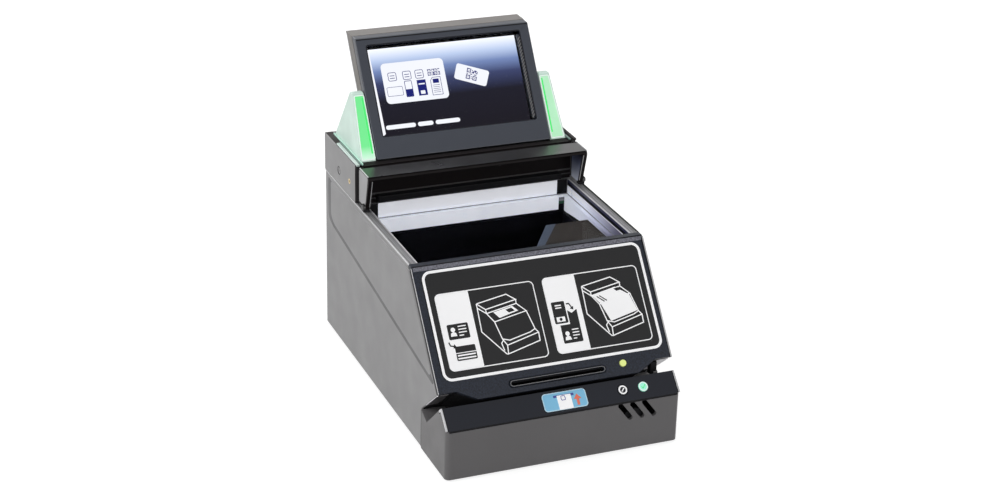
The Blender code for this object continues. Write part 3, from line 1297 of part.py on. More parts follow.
def wing_span():
    """Inner and outer X of the right wing."""
    low = DISPLAY_HALF + WING_DISPLAY_GAP
    return low, low + WING_WIDTH


def make_wings():
    foot = HEADER_TOP_Z - WING_SEAT + GAP
    top = HEADER_TOP_Z + WING_HEIGHT
    front_top = WING_FRONT_Y + WING_HEIGHT * math.tan(DISPLAY_LEAN)
    outline = rounded(
        [
            (WING_FRONT_Y, foot),
            (WING_FRONT_Y, HEADER_TOP_Z),
            (front_top, top),
            (front_top + WING_TOP_LENGTH, top),
            (WING_BACK_Y, HEADER_TOP_Z),
            (WING_BACK_Y, foot),
        ],
        (0, 0, WING_RADIUS, WING_RADIUS, 0, 0),
    )
    low_x, high_x = wing_span()
    for name, span_x in zip(("wing_right", "wing_left"), both_sides(low_x, high_x)):
        piece(name, "green_light", [(outline, *span_x)])
    strip_low = HEADER_TOP_Z + GAP
    names = ("wing_foot_right", "wing_foot_left")
    for name, (start, end) in zip(names, both_sides(high_x + GAP, HALF - WING_FOOT_INSET)):
        plan = rectangle((start, WING_FOOT_FRONT_Y), (end, WING_BACK_Y))
        piece(name, "clear_green", [(plan, strip_low, strip_low + WING_FOOT_HEIGHT)], PLAN)
    half = HALF - HEADER_WALL - HEADER_LEDGE - GAP
    rear = WING_BACK_Y - WING_FOOT_INSET
    board_top = DECK_LOW - GAP
    board_low = board_top - BOARD_THICKNESS
    board = block((-half, rear - WING_BOARD_LENGTH, board_low), (half, rear, board_top))
    lamp_board = piece("wing_lamp_board", "board", [board], PLAN)
    middle = (WING_FRONT_Y + WING_BACK_Y) / 2
    centre = (low_x + high_x) / 2
    inner_x = centre - WING_WELL / 2 - WING_BOARD_MARGIN
    tip = middle - WING_WELL_LENGTH / 2
    for start, end in both_sides(inner_x, half):
        add(lamp_board, [block((start, tip, board_low), (end, rear, board_top))], PLAN)


clear_scene()
READER = empty("reader", (0, -REACH / 2, FOOT_HEIGHT))
TILT_AXIS = empty("tilt_axis", (0, *tilt_place()), READER)
HOOD_AXIS = empty("hood_axis", (0, HINGE_Y, HINGE_Z), READER)
HEAD_SEAT = empty("head_seat", SLOPE.origin + SLOPE.up * HEAD_UP, READER)
PLUNGER_SEAT = empty("plunger_seat", PANEL.origin + PANEL.out * CARD_TRAVEL, READER)
make_base()
make_rear()
make_side_covers()
make_front_panel()
make_nose()
make_channel()
make_chip_reader()
make_speaker()
make_window()
make_chamber()
make_header()
make_hood()
make_display()
make_wings()
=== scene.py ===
"""Looks of the passport reader: finishes, printed label, lit wings, screen picture and small hardware.

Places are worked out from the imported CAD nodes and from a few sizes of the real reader, in metres.
Side views are written as (y from the nose front, z from the underside of the base tray).
"""

import math
from collections import namedtuple

import bmesh
import bpy
from mathutils import Matrix, Vector


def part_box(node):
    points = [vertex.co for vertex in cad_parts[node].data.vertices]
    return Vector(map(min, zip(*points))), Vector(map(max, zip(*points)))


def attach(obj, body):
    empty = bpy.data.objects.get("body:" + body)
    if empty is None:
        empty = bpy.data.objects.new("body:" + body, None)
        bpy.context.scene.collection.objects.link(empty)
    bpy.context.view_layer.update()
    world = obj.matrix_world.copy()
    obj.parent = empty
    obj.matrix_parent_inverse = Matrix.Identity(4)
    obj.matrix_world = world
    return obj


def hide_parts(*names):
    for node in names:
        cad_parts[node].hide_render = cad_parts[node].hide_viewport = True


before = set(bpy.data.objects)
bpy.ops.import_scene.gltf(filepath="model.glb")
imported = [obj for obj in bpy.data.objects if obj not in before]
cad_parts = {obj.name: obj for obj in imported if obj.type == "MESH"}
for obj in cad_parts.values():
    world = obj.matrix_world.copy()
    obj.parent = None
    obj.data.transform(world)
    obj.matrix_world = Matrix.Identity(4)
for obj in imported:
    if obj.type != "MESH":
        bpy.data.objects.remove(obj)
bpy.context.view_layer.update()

# Camera, fitted to the photograph
CAMERA_PLACE = Vector((-0.42909, -1.036968, 0.57849))
CAMERA_YAW = math.radians(22.63)
CAMERA_PITCH = math.radians(23.81)
CAMERA_ROLL = math.radians(1.54)
CAMERA_LENS = 75.85
SENSOR_WIDTH = 36

# The reader's main planes
MM = 0.001
NOSE_LOW, NOSE_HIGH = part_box("nose_cover")
TRAY_LOW, TRAY_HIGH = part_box("base_tray")
ORIGIN = Vector((0, NOSE_LOW.y, TRAY_LOW.z))
HALF = NOSE_HIGH.x
PANEL_FOOT = Vector((0.01265, 0.0467))
PANEL_TOP = Vector((0.0584, 0.1026))
CAP_FOOT = Vector((0, 0.030))
CAP_TOP = Vector((0.0095, 0.0395))
FACE_FOOT = Vector((0.1573, 0.1263))
FACE_LEAN = math.radians(33.9)

BLACK = (0, 0, 0)

# Small measures shared by the pieces
PRINT = 0.00006
SUNK = 0.0001
EDGE = 0.0004
ARC_STEPS = 6

Plane = namedtuple("Plane", "origin across up out")


def plane_in_side_view(foot, up):
    """The plane through the X axis and a direction of the side view, facing the camera."""
    up = up.normalized()
    across = Vector((1, 0, 0))
    rise = Vector((0, up.x, up.y))
    return Plane(ORIGIN + Vector((0, foot.x, foot.y)), across, rise, across.cross(rise))


PANEL = plane_in_side_view(PANEL_FOOT, PANEL_TOP - PANEL_FOOT)
CAP = plane_in_side_view(CAP_FOOT, CAP_TOP - CAP_FOOT)
FACE = plane_in_side_view(FACE_FOOT, Vector((math.sin(FACE_LEAN), math.cos(FACE_LEAN))))
SIDE = Plane(ORIGIN, Vector((0, 1, 0)), Vector((0, 0, 1)), Vector((1, 0, 0)))
PLAN = Plane(ORIGIN, Vector((1, 0, 0)), Vector((0, 1, 0)), Vector((0, 0, 1)))


def new_material(name):
    material = bpy.data.materials.new(name)
    material.use_nodes = True
    tree = material.node_tree
    return material, tree.nodes, tree.links, tree.nodes["Principled BSDF"]


def noise(nodes, links, scale, detail=3, stretch=(1, 1, 1)):
    """A noise texture in the object's own metres; scale is in features a metre."""
    place = nodes.new("ShaderNodeTexCoord")
    mapping = nodes.new("ShaderNodeMapping")
    mapping.inputs["Scale"].default_value = stretch
    texture = nodes.new("ShaderNodeTexNoise")
    texture.inputs["Scale"].default_value = scale
    texture.inputs["Detail"].default_value = detail
    links.new(place.outputs["Object"], mapping.inputs["Vector"])
    links.new(mapping.outputs["Vector"], texture.inputs["Vector"])
    return texture.outputs["Fac"]


def spread(nodes, links, value, low, high):
    """The value, which runs from 0 to 1, as a number between low and high."""
    node = nodes.new("ShaderNodeMapRange")
    node.inputs["From Min"].default_value = 0.3
    node.inputs["From Max"].default_value = 0.7
    node.inputs["To Min"].default_value = low
    node.inputs["To Max"].default_value = high
    links.new(value, node.inputs["Value"])
    return node.outputs["Result"]


def blend_colour(nodes, links, factor, first, second):
    node = nodes.new("ShaderNodeMix")
    node.data_type = "RGBA"
    node.inputs[6].default_value = (*first, 1)
    node.inputs[7].default_value = (*second, 1)
    links.new(factor, node.inputs["Factor"])
    return node.outputs[2]


def roughen(nodes, links, shader, value, strength, distance):
    bump = nodes.new("ShaderNodeBump")
    bump.inputs["Strength"].default_value = strength
    bump.inputs["Distance"].default_value = distance
    links.new(value, bump.inputs["Height"])
    links.new(bump.outputs["Normal"], shader.inputs["Normal"])


def moulded(name, colour, roughness, grain=2400, depth=0.00004, mottle=0.05, specular=0.5, coat=0,
            patches=22):
    """Moulded plastic or rubber: fine grain, a little mottling and patches of handling polish."""
    material, nodes, links, shader = new_material(name)
    light = [min(1, c * (1 + mottle)) for c in colour]
    dark = [c * (1 - mottle) for c in colour]
    cloud = spread(nodes, links, noise(nodes, links, patches, 4), 0, 1)
    links.new(blend_colour(nodes, links, cloud, dark, light), shader.inputs["Base Color"])
    polish = noise(nodes, links, 70, 2)
    worn = spread(nodes, links, polish, roughness * 0.9, min(1, roughness * 1.12))
    links.new(worn, shader.inputs["Roughness"])
    roughen(nodes, links, shader, noise(nodes, links, grain, 2), 0.5, depth)
    shader.inputs["Specular IOR Level"].default_value = specular
    shader.inputs["Coat Weight"].default_value = coat
    shader.inputs["Coat Roughness"].default_value = 0.06
    return material


def brushed(name, colour, roughness, stretch=(1, 30, 30)):
    """Turned or brushed metal, its scratches long in one direction."""
    material, nodes, links, shader = new_material(name)
    lines = noise(nodes, links, 600, 3, stretch)
    dark = [c * 0.82 for c in colour]
    links.new(blend_colour(nodes, links, lines, dark, colour), shader.inputs["Base Color"])
    worn = spread(nodes, links, lines, roughness * 0.75, roughness * 1.3)
    links.new(worn, shader.inputs["Roughness"])
    roughen(nodes, links, shader, lines, 0.15, 0.00002)
    shader.inputs["Metallic"].default_value = 1
    return material


def clear(name, colour, roughness=0.02, specular=0.5, ior=1.46):
    """Clear glass or acrylic with a trace of wiping marks."""
    material, nodes, links, shader = new_material(name)
    shader.inputs["Base Color"].default_value = (*colour, 1)
    wipes = noise(nodes, links, 35, 3, (1, 4, 1))
    links.new(spread(nodes, links, wipes, roughness, roughness * 2.5), shader.inputs["Roughness"])
    shader.inputs["Transmission Weight"].default_value = 1
    shader.inputs["IOR"].default_value = ior
    shader.inputs["Specular IOR Level"].default_value = specular
    return material


def glowing(name, colour, strength, roughness=0.4, cloudiness=0.08, specular=0.3, body=True):
    """A lamp lens, lit diffuser or screen colour, a little uneven as lit plastic is; also the painted light of
    surfaces that glow though they are no lamp.
    """
    material, nodes, links, shader = new_material(name)
    dim = [c * (1 - cloudiness) for c in colour]
    cloud = spread(nodes, links, noise(nodes, links, 60, 2), 0, 1)
    tint = blend_colour(nodes, links, cloud, dim, colour)
    if body:
        links.new(tint, shader.inputs["Base Color"])
    else:
        shader.inputs["Base Color"].default_value = (*BLACK, 1)
    links.new(tint, shader.inputs["Emission Color"])
    shader.inputs["Emission Strength"].default_value = strength
    shader.inputs["Roughness"].default_value = roughness
    shader.inputs["Specular IOR Level"].default_value = specular
    return material


def circuit(name):
    """Green solder mask with the faint grid of tracks under it."""
    material, nodes, links, shader = new_material(name)
    place = nodes.new("ShaderNodeTexCoord")
    tracks = nodes.new("ShaderNodeTexBrick")
    tracks.inputs["Scale"].default_value = 260
    tracks.inputs["Mortar Size"].default_value = 0.03
    tracks.inputs["Color1"].default_value = (0.008, 0.075, 0.030, 1)
    tracks.inputs["Color2"].default_value = (0.010, 0.095, 0.040, 1)
    tracks.inputs["Mortar"].default_value = (0.030, 0.190, 0.080, 1)
    links.new(place.outputs["Object"], tracks.inputs["Vector"])
    links.new(tracks.outputs["Color"], shader.inputs["Base Color"])
    shader.inputs["Roughness"].default_value = 0.35
    roughen(nodes, links, shader, noise(nodes, links, 900, 2), 0.3, 0.00003)
    return material


FINISH = {
    "grey_case": moulded("grey_case", (0.255, 0.252, 0.256), 0.48),
    # painted shade for the field border's downward and backward slopes
    "painted_slope_shade": moulded("painted_slope_shade", (0.105, 0.103, 0.107), 0.55),
    # the case grey with painted shade: darker, as the nose front gets less light than the sides
    "nose_grey_painted_shade": moulded("nose_grey_painted_shade", (0.142, 0.138, 0.141), 0.44, 2400, 0.00004, 0.04, 0.35),
    "frame_grey": moulded("frame_grey", (0.250, 0.250, 0.262), 0.40),
    "panel_black": moulded("panel_black", (0.0095, 0.0125, 0.0215), 0.42, 1500, 0.00014, 0.55, 0.24, 0, 1100),
    # painted sheen: a lighter band for the highlight along the panel's top lip
    "panel_painted_sheen": moulded("panel_painted_sheen", (0.155, 0.156, 0.186), 0.50, 1500, 0.00014, 0.50, 0.3, 0, 1100),
    "gloss_black": moulded("gloss_black", (0.0034, 0.0050, 0.0115), 0.20, 900, 0.00001, 0.04, 0.30),
    "dark_case": moulded("dark_case", (0.0080, 0.0062, 0.0066), 0.50, 2000, 0.00006, 0.06, 0.08),
    "hood_gloss": moulded("hood_gloss", (0.0060, 0.0052, 0.0056), 0.30, 2000, 0.00002, 0.06, 0.9),
    "display_case": moulded("display_case", (0.176, 0.164, 0.155), 0.50),
    "bezel_black": moulded("bezel_black", (0.038, 0.044, 0.060), 0.34, 2000, 0.00005, 0.06, 0.35),
    # plain black plastic, and the black of painted shade lines and recess floors
    "inner_black": moulded("inner_black", (0.005, 0.005, 0.006), 0.60, 1800, 0.00005, 0.05, 0.15),
    "chamber_black": moulded("chamber_black", (0.003, 0.003, 0.006), 0.60, 1800, 0.00004, 0.05, 0.10),
    "label_print": moulded("label_print", (0.012, 0.012, 0.013), 0.42, 1200, 0.00003, 0.05, 0.20),
    "badge_print": moulded("badge_print", (0.240, 0.560, 0.800), 0.35, 1200, 0.00002, 0.05, 0.30),
    "window_glass": clear("window_glass", (0.93, 0.94, 0.96), 0.01, 0.10, 1.04),
    "screen_glass": clear("screen_glass", (0.95, 0.96, 0.97), 0.01, 0.05, 1.03),
    "green_light": glowing("green_light", (0.10, 0.62, 0.24), 0.55),
    "clear_mint": moulded("clear_mint", (0.52, 0.86, 0.72), 0.12, 900, 0.00001, 0.14, 0.5, 0.4),
    "clear_white": moulded("clear_white", (0.52, 0.64, 0.60), 0.14, 900, 0.00001, 0.12, 0.5, 0.4),
    "clear_grey": moulded("clear_grey", (0.16, 0.25, 0.22), 0.16, 900, 0.00001, 0.16),
    "rail_brown": moulded("rail_brown", (0.010, 0.007, 0.007), 0.50, 1600, 0.00002, 0.10, 0.15),
    # painted reflection: the grey that the hood's glossy black sides show
    "hood_painted_reflection": moulded("hood_painted_reflection", (0.335, 0.333, 0.340), 0.42),
    # painted highlight: pale lines along edges that catch the light
    "painted_edge_highlight": moulded("painted_edge_highlight", (0.66, 0.66, 0.68), 0.28, 1600, 0.00001, 0.08),
    # painted highlight: grey lines along edges that catch less light
    "painted_highlight_grey": moulded("painted_highlight_grey", (0.46, 0.46, 0.47), 0.30, 1600, 0.00001, 0.08),
    "channel_mirror": brushed("channel_mirror", (0.80, 0.79, 0.83), 0.12, (1, 4, 4)),
    "chamber_plate": moulded("chamber_plate", (0.036, 0.032, 0.029), 0.80, 1600, 0.00003, 0.12, 0.01),
    # painted shade: a dark grey for the header neck's outer faces and the strips behind the panel's ends
    "painted_shade_grey": moulded("painted_shade_grey", (0.046, 0.044, 0.046), 0.50, 1800, 0.00004, 0.06, 0.25),
    # painted reflection: a pale strip for the floor's light reflected under the panel's foot
    "strip_painted_reflection": moulded("strip_painted_reflection", (0.86, 0.83, 0.89), 0.35, 900, 0.00002, 0.12),
    "chamber_edge": moulded("chamber_edge", (0.060, 0.072, 0.098), 0.60, 1600, 0.00003, 0.20, 0.05),
    "rib_grey": moulded("rib_grey", (0.170, 0.168, 0.170), 0.45, 1800, 0.00002, 0.10),
    "plate_pale": moulded("plate_pale", (0.56, 0.56, 0.57), 0.38, 1400, 0.00002, 0.03),
    "mint_light": glowing("mint_light", (0.34, 0.82, 0.64), 0.38, 0.4, 0.20),
    "yellow_light": glowing("yellow_light", (0.64, 0.72, 0.24), 0.42),
    "rubber": moulded("rubber", (0.012, 0.012, 0.013), 0.80, 1400, 0.00010, 0.08, 0.25),
    "steel": brushed("steel", (0.56, 0.57, 0.60), 0.30),
    "screw_grey": moulded("screw_grey", (0.300, 0.297, 0.300), 0.30, 1800, 0.00002),
    "screw_black": moulded("screw_black", (0.020, 0.020, 0.022), 0.32, 1800, 0.00002, 0.08, 0.4),
    "brass": brushed("brass", (0.92, 0.72, 0.38), 0.40),
    "board_green": circuit("board_green"),
    "mirror_silver": brushed("mirror_silver", (0.62, 0.63, 0.66), 0.04, (1, 1, 1)),
    # white print with painted light: a glow that makes it brighter than the lamps light it
    "print_white_painted_glow": glowing("print_white_painted_glow", (0.88, 0.88, 0.89), 0.22, 0.45, 0.03),
    "print_navy": moulded("print_navy", (0.045, 0.060, 0.300), 0.40, 1200, 0.00002, 0.04),
    "print_red": moulded("print_red", (0.800, 0.180, 0.110), 0.40, 1200, 0.00002, 0.04),
    "badge_pale": moulded("badge_pale", (0.560, 0.780, 0.900), 0.35, 1200, 0.00002, 0.03),
    "wing_green": glowing("wing_green", (0.07, 0.78, 0.17), 0.36, 0.25),
    "wing_pale_green": glowing("wing_pale_green", (0.46, 0.82, 0.54), 0.35, 0.25),
    "wing_frost": glowing("wing_frost", (0.58, 0.74, 0.66), 0.18, 0.30, 0.14),
    "wing_edge": glowing("wing_edge", (0.84, 0.93, 0.88), 0.25, 0.30, 0.05),
    # painted light: a glow on the window's rear linings
    "liner_painted_light": glowing("liner_painted_light", (0.86, 0.87, 0.92), 0.35, 0.5, 0.10),
    "mouth_line": moulded("mouth_line", (0.050, 0.049, 0.050), 0.40, 1600, 0.00002),
    "lining_navy": moulded("lining_navy", (0.020, 0.022, 0.070), 0.35, 1600, 0.00002, 0.20),
    # painted highlight: the glowing line along the window's side walls
    "lining_painted_highlight": glowing("lining_painted_highlight", (0.84, 0.85, 0.92), 0.20, 0.35, 0.20),
    "screen_white": glowing("screen_white", (0.86, 0.87, 0.92), 1.15, 0.4, 0.02, 0, False),
    "screen_navy": glowing("screen_navy", (0.014, 0.018, 0.150), 1.25, 0.4, 0.05, 0, False),
    "port_dark": moulded("port_dark", (0.010, 0.010, 0.011), 0.45, 1400, 0.00003, 0.05, 0.3),
}

# Which finish each CAD node wears
WEARS = {
    "grey_case": ["left_side_cover", "right_side_cover", "rear_panel", "header_housing"],
    # the nose cover wears the case grey darkened as painted shade
    "nose_grey_painted_shade": ["nose_cover"],
    "frame_grey": ["top_frame"],
    "panel_black": ["front_panel", "card_slot_rim"],
    "gloss_black": ["nose_cap", "power_jack", "ring_light"],
    "dark_case": ["hood", "header_deck"],
    "display_case": ["display_back"],
    "bezel_black": ["display_bezel"],
    "inner_black": ["channel_roof", "swipe_guide", "chip_reader", "speaker"]
    + ["lens_barrel", "base_tray", "document_stop", "screen_panel"],
    # the glass gasket wears the well's painted light
    "well_painted_light": ["glass_gasket"],
    "chamber_black": ["light_chamber", "lamp_frame"],
    "label_print": ["instruction_label"],
    "badge_print": ["card_badge"],
    "window_glass": ["document_glass", "front_lens"],
    "screen_glass": ["screen_glass"],
    "green_light": ["wing_left", "wing_right"],
    "clear_mint": ["wing_foot_left", "wing_foot_right"],
    "mint_light": ["ready_light"],
    "yellow_light": ["card_light"],
    "rubber": ["foot_front_left", "foot_front_right", "foot_rear_left", "foot_rear_right"]
    + ["hood_foot_left", "hood_foot_right"],
    "steel": ["magnetic_head", "head_bracket", "data_port", "lock_slot_plate", "hood_hinge_rod"]
    + ["tilt_rod", "tilt_bracket", "card_plunger", "header_screw_left", "header_screw_right"],
    "brass": ["chip_contacts"],
    "board_green": ["main_board", "antenna_board", "camera_board", "display_board"]
    + ["wing_lamp_board"],
    "mirror_silver": ["fold_mirror"],
}

# Edge radius of the nodes that are softer or sharper than the rest
SOFTNESS = {
    "nose_cover": 0.0010,
    "nose_cap": 0.0005,
    "front_panel": 0.0007,
    "header_housing": 0.0007,
    "hood": 0.0005,
    "display_back": 0.0016,
    "display_bezel": 0.0010,
    "instruction_label": 0.00008,
    "card_badge": 0.00008,
    "chip_contacts": 0.0001,
    "card_slot_rim": 0.0002,
    "card_light": 0.0002,
    "ring_light": 0.0002,
    "ready_light": 0.0002,
    "wing_foot_left": 0.0002,
    "wing_foot_right": 0.0002,
    "document_glass": 0.0003,
    "lamp_frame": 0.0001,
}
SHARP_ANGLE = math.radians(34)


def soften(obj, width, segments=3):
    """Rounds the sharp edges and evens out the shading of the flat faces between them."""
    weld = obj.modifiers.new("weld", "WELD")
    weld.merge_threshold = 0.000005
    bevel = obj.modifiers.new("bevel", "BEVEL")
    bevel.width = width
    bevel.segments = segments
    bevel.limit_method = "ANGLE"
    bevel.angle_limit = SHARP_ANGLE
    bevel.use_clamp_overlap = True
    bevel.harden_normals = False
    normals = obj.modifiers.new("normals", "WEIGHTED_NORMAL")
    normals.keep_sharp = True
    normals.weight = 90


def dress_nodes():
    for finish, names in WEARS.items():
        for name in names:
            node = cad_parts[name]
            node.data.materials.clear()
            node.data.materials.append(FINISH[finish])
            soften(node, SOFTNESS.get(name, EDGE))


def make_camera():
    forward = Vector(
        (
            math.sin(CAMERA_YAW) * math.cos(CAMERA_PITCH),
            math.cos(CAMERA_YAW) * math.cos(CAMERA_PITCH),
            -math.sin(CAMERA_PITCH),
        )
    )
    level = forward.cross(Vector((0, 0, 1))).normalized()
    upright = level.cross(forward)
    across = level * math.cos(CAMERA_ROLL) + upright * math.sin(CAMERA_ROLL)
    up = upright * math.cos(CAMERA_ROLL) - level * math.sin(CAMERA_ROLL)
    data = bpy.data.cameras.new("camera")
    data.lens = CAMERA_LENS
    data.sensor_width = SENSOR_WIDTH
    data.sensor_fit = "HORIZONTAL"
    camera = bpy.data.objects.new("camera", data)
    bpy.context.collection.objects.link(camera)
    turn = Matrix((across, up, -forward)).transposed().to_4x4()
    camera.matrix_world = Matrix.Translation(CAMERA_PLACE) @ turn
    bpy.context.scene.camera = camera


def soft_box(name, place, aim, size, power):
    data = bpy.data.lights.new(name, "AREA")
    data.shape = "RECTANGLE"
    data.size, data.size_y = size
    data.energy = power
    lamp = bpy.data.objects.new(name, data)
    bpy.context.collection.objects.link(lamp)
    lamp.location = place
    lamp.rotation_euler = (Vector(aim) - Vector(place)).to_track_quat("-Z", "Y").to_euler()


def seen_directly(nodes, links):
    """1 for what the camera, a mirror or clear glass sees, 0 for light that falls on the object."""
    path = nodes.new("ShaderNodeLightPath")
    total = path.outputs["Is Camera Ray"]
    for kind in ("Is Glossy Ray", "Is Transmission Ray"):
        join = nodes.new("ShaderNodeMath")
        join.operation = "MAXIMUM"
        links.new(total, join.inputs[0])
        links.new(path.outputs[kind], join.inputs[1])
        total = join.outputs[0]
    return total


WORLD_LIGHT = 0.20
FLOOR_SIZE = 3.0
FLOOR_GREY = 0.36
FLOOR_WHITENESS = 0.80


def make_studio():
    world = bpy.data.worlds.new("studio")
    bpy.context.scene.world = world
    world.use_nodes = True
    nodes, links = world.node_tree.nodes, world.node_tree.links
    background = nodes["Background"]
    background.inputs["Color"].default_value = (1, 1, 1, 1)
    strength = nodes.new("ShaderNodeMapRange")
    strength.inputs["To Min"].default_value = WORLD_LIGHT
    strength.inputs["To Max"].default_value = 1
    links.new(seen_directly(nodes, links), strength.inputs["Value"])
    links.new(strength.outputs["Result"], background.inputs["Strength"])

    mesh = bpy.data.meshes.new("floor")
    reach = FLOOR_SIZE / 2
    corners = [(-reach, -reach, 0), (reach, -reach, 0), (reach, reach, 0), (-reach, reach, 0)]
    mesh.from_pydata(corners, [], [(0, 1, 2, 3)])
    floor = bpy.data.objects.new("floor", mesh)
    bpy.context.collection.objects.link(floor)
    material, nodes, links, shader = new_material("floor")
    shader.inputs["Base Color"].default_value = (FLOOR_GREY, FLOOR_GREY, FLOOR_GREY, 1)
    shader.inputs["Roughness"].default_value = 0.9
    shader.inputs["Specular IOR Level"].default_value = 0.1
    shader.inputs["Emission Color"].default_value = (1, 1, 1, 1)
    lift = nodes.new("ShaderNodeMath")
    lift.operation = "MULTIPLY"
    lift.inputs[1].default_value = FLOOR_WHITENESS
    links.new(seen_directly(nodes, links), lift.inputs[0])
    links.new(lift.outputs["Value"], shader.inputs["Emission Strength"])
    mesh.materials.append(material)

    soft_box("key", (-1.7, -0.25, 1.1), (0, 0, 0.08), (1.2, 1.0), 22)
    soft_box("front", (0.4, -1.7, 0.8), (0, 0, 0.08), (1.4, 0.8), 10)
    soft_box("top", (0.1, 0.6, 1.9), (0, 0, 0.08), (1.4, 1.4), 9)
    soft_box("right", (1.7, 0.5, 0.9), (0, 0, 0.08), (1.2, 1.0), 9)
    soft_box("rear", (-0.3, 1.8, 0.9), (0, 0, 0.08), (1.2, 1.0), 9)
    bpy.context.scene.view_settings.view_transform = "Standard"


def rounded(points, radius, steps=ARC_STEPS):
    """The outline with an arc of the radius at each corner; radius may be a list, one for each corner."""
    points = [Vector(p) for p in points]
    radii = radius if isinstance(radius, (list, tuple)) else [radius] * len(points)
    outline = []
    for i, (corner, reach) in enumerate(zip(points, radii)):
        if reach <= 0:
            outline.append(corner)
            continue
        before = (points[i - 1] - corner).normalized()
        after = (points[(i + 1) % len(points)] - corner).normalized()
        half = before.angle(after) / 2
        centre = corner + (before + after).normalized() * (reach / math.sin(half))
        start = corner + before * (reach / math.tan(half)) - centre
        end = corner + after * (reach / math.tan(half)) - centre
        first = math.atan2(start.y, start.x)
        sweep = (math.atan2(end.y, end.x) - first + math.pi) % (2 * math.pi) - math.pi
        for step in range(steps + 1):
            angle = first + sweep * step / steps
            outline.append(centre + Vector((math.cos(angle), math.sin(angle))) * reach)
    return outline


def rectangle(low, high, radius=0):
    return rounded([low, (high[0], low[1]), high, (low[0], high[1])], radius)


def circle(centre, radius, sides=28):
    steps = [2 * math.pi * i / sides for i in range(sides)]
    centre = Vector(centre)
    return [centre + Vector((math.cos(a), math.sin(a))) * radius for a in steps]


def capsule(start, end, radius):
    start, end = Vector(start), Vector(end)
    along = math.atan2(end.y - start.y, end.x - start.x)
    outline = []
    for centre, turn in ((start, math.pi / 2), (end, -math.pi / 2)):
        for step in range(ARC_STEPS + 1):
            angle = along + turn + math.pi * step / ARC_STEPS
            outline.append(centre + Vector((math.cos(angle), math.sin(angle))) * radius)
    return outline


def millimetres(points):
    return [Vector(p) * MM for p in points]


def at(plane, point, level):
    return plane.origin + plane.across * point[0] + plane.up * point[1] + plane.out * level


def add_prism(bm, plane, outline, low, high, top=None):
    """A closed prism between two levels of the plane; top is a second outline of as many points."""
    rings = []
    for level, points in ((low, outline), (high, top or outline)):
        rings.append([bm.verts.new(at(plane, p, level)) for p in points])
    faces = [bm.faces.new(rings[0]), bm.faces.new(rings[1])]
    for i in range(len(outline)):
        j = (i + 1) % len(outline)
        faces.append(bm.faces.new((rings[0][i], rings[0][j], rings[1][j], rings[1][i])))
    bmesh.ops.recalc_face_normals(bm, faces=faces)


def add_band(bm, plane, points, width, low, high, closed=False):
    """A line of even width drawn through the points, as a thin closed solid with mitred corners."""
    points = [Vector(p) for p in points]
    count = len(points)
    pairs = []
    for i, point in enumerate(points):
        before = points[i - 1] if closed or i else None
        after = points[(i + 1) % count] if closed or i < count - 1 else None
        ahead = (after - point).normalized() if after is not None else None
        behind = (point - before).normalized() if before is not None else ahead
        ahead = ahead or behind
        sides = [Vector((-d.y, d.x)) for d in (behind, ahead)]
        middle = (sides[0] + sides[1]).normalized()
        reach = middle * (width / 2 / max(0.35, middle.dot(sides[0])))
        pairs.append((point + reach, point - reach))
    corners = [[bm.verts.new(at(plane, p, level)) for level in (low, high) for p in pair] for pair in pairs]
    faces = []
    for i in range(count if closed else count - 1):
        a, b = corners[i], corners[(i + 1) % count]
        for m, n in ((0, 1), (1, 3), (3, 2), (2, 0)):
            faces.append(bm.faces.new((a[m], a[n], b[n], b[m])))
    if not closed:
        for end in (corners[0], corners[-1]):
            faces.append(bm.faces.new((end[0], end[1], end[3], end[2])))
    bmesh.ops.recalc_face_normals(bm, faces=faces)


def new_object(name, mesh):
    obj = bpy.data.objects.new(name, mesh)
    bpy.context.collection.objects.link(obj)
    return obj


def bake_modifiers(obj):
    """Applies the object's modifiers to its mesh."""
    bpy.context.view_layer.update()
    result = bpy.data.meshes.new_from_object(obj.evaluated_get(bpy.context.evaluated_depsgraph_get()))
    obj.modifiers.clear()
    obj.data = result


def finish_piece(bm, name, finish, body="reader", edge=0, replaces=()):
    """Turns the solids into a named piece that rides on a CAD body."""
    mesh = bpy.data.meshes.new(name)
    bm.to_mesh(mesh)
    bm.free()
    obj = new_object(name, mesh)
    mesh.materials.append(FINISH[finish])
    if edge:
        soften(obj, edge)
        bake_modifiers(obj)
    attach(obj, body)
    if replaces:
        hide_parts(*replaces)
    return obj


def carve(obj, bm):
    """Cuts the solids in bm out of the object's mesh."""
    mesh = bpy.data.meshes.new("cutter")
    bm.to_mesh(mesh)
    bm.free()
    cutter = new_object("cutter", mesh)
    modifier = obj.modifiers.new("carve", "BOOLEAN")
    modifier.operation = "DIFFERENCE"
    modifier.solver = "EXACT"
    modifier.object = cutter
    bake_modifiers(obj)
    bpy.data.objects.remove(cutter)


def copy_of(node, name):
    """A copy of a CAD node that can be carved and then stands for it."""
    obj = new_object(name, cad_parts[node].data.copy())
    weld = obj.modifiers.new("weld", "WELD")
    weld.merge_threshold = 0.000005
    bake_modifiers(obj)
    return obj


def show_for(obj, node, finish, body="reader", edge=EDGE):
    """The carved copy gets its finish and edges and takes the CAD node's place."""
    obj.data.materials.clear()
    obj.data.materials.append(FINISH[finish])
    soften(obj, edge)
    bake_modifiers(obj)
    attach(obj, body)
    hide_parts(node)


# Side covers: a slab with a raised field that has a sloped border, whose faces turned down or back are painted
# darker as shade
COVER_INNER = 0.0682
COVER_FACE = 0.0697
FIELD_FACE = 0.0702
COVER_EDGE = 0.0007
COVER_OUTLINE = (
    (14.82, 44.93),
    (57.59, 97.18),
    (57.59, 99.8),
    (62.8, 99.8),
    (62.8, 102.6),
    (212, 102.6),
    (212, 0),
    (39.7, 0),
    (39.7, 24.5),
)
FIELD_FOOT = ((208.5, 99.8), (208.5, 72.6), (198.4, 69.5), (17.5, 46.2), (61.2, 99.3))
FIELD_CREST = ((200.4, 99.1), (200.4, 76.6), (194.8, 73.4), (22.5, 50.9), (62.8, 99.0))
FIELD_RADII = (0.0020, 0.005, 0.010, 0.0022, 0.003)


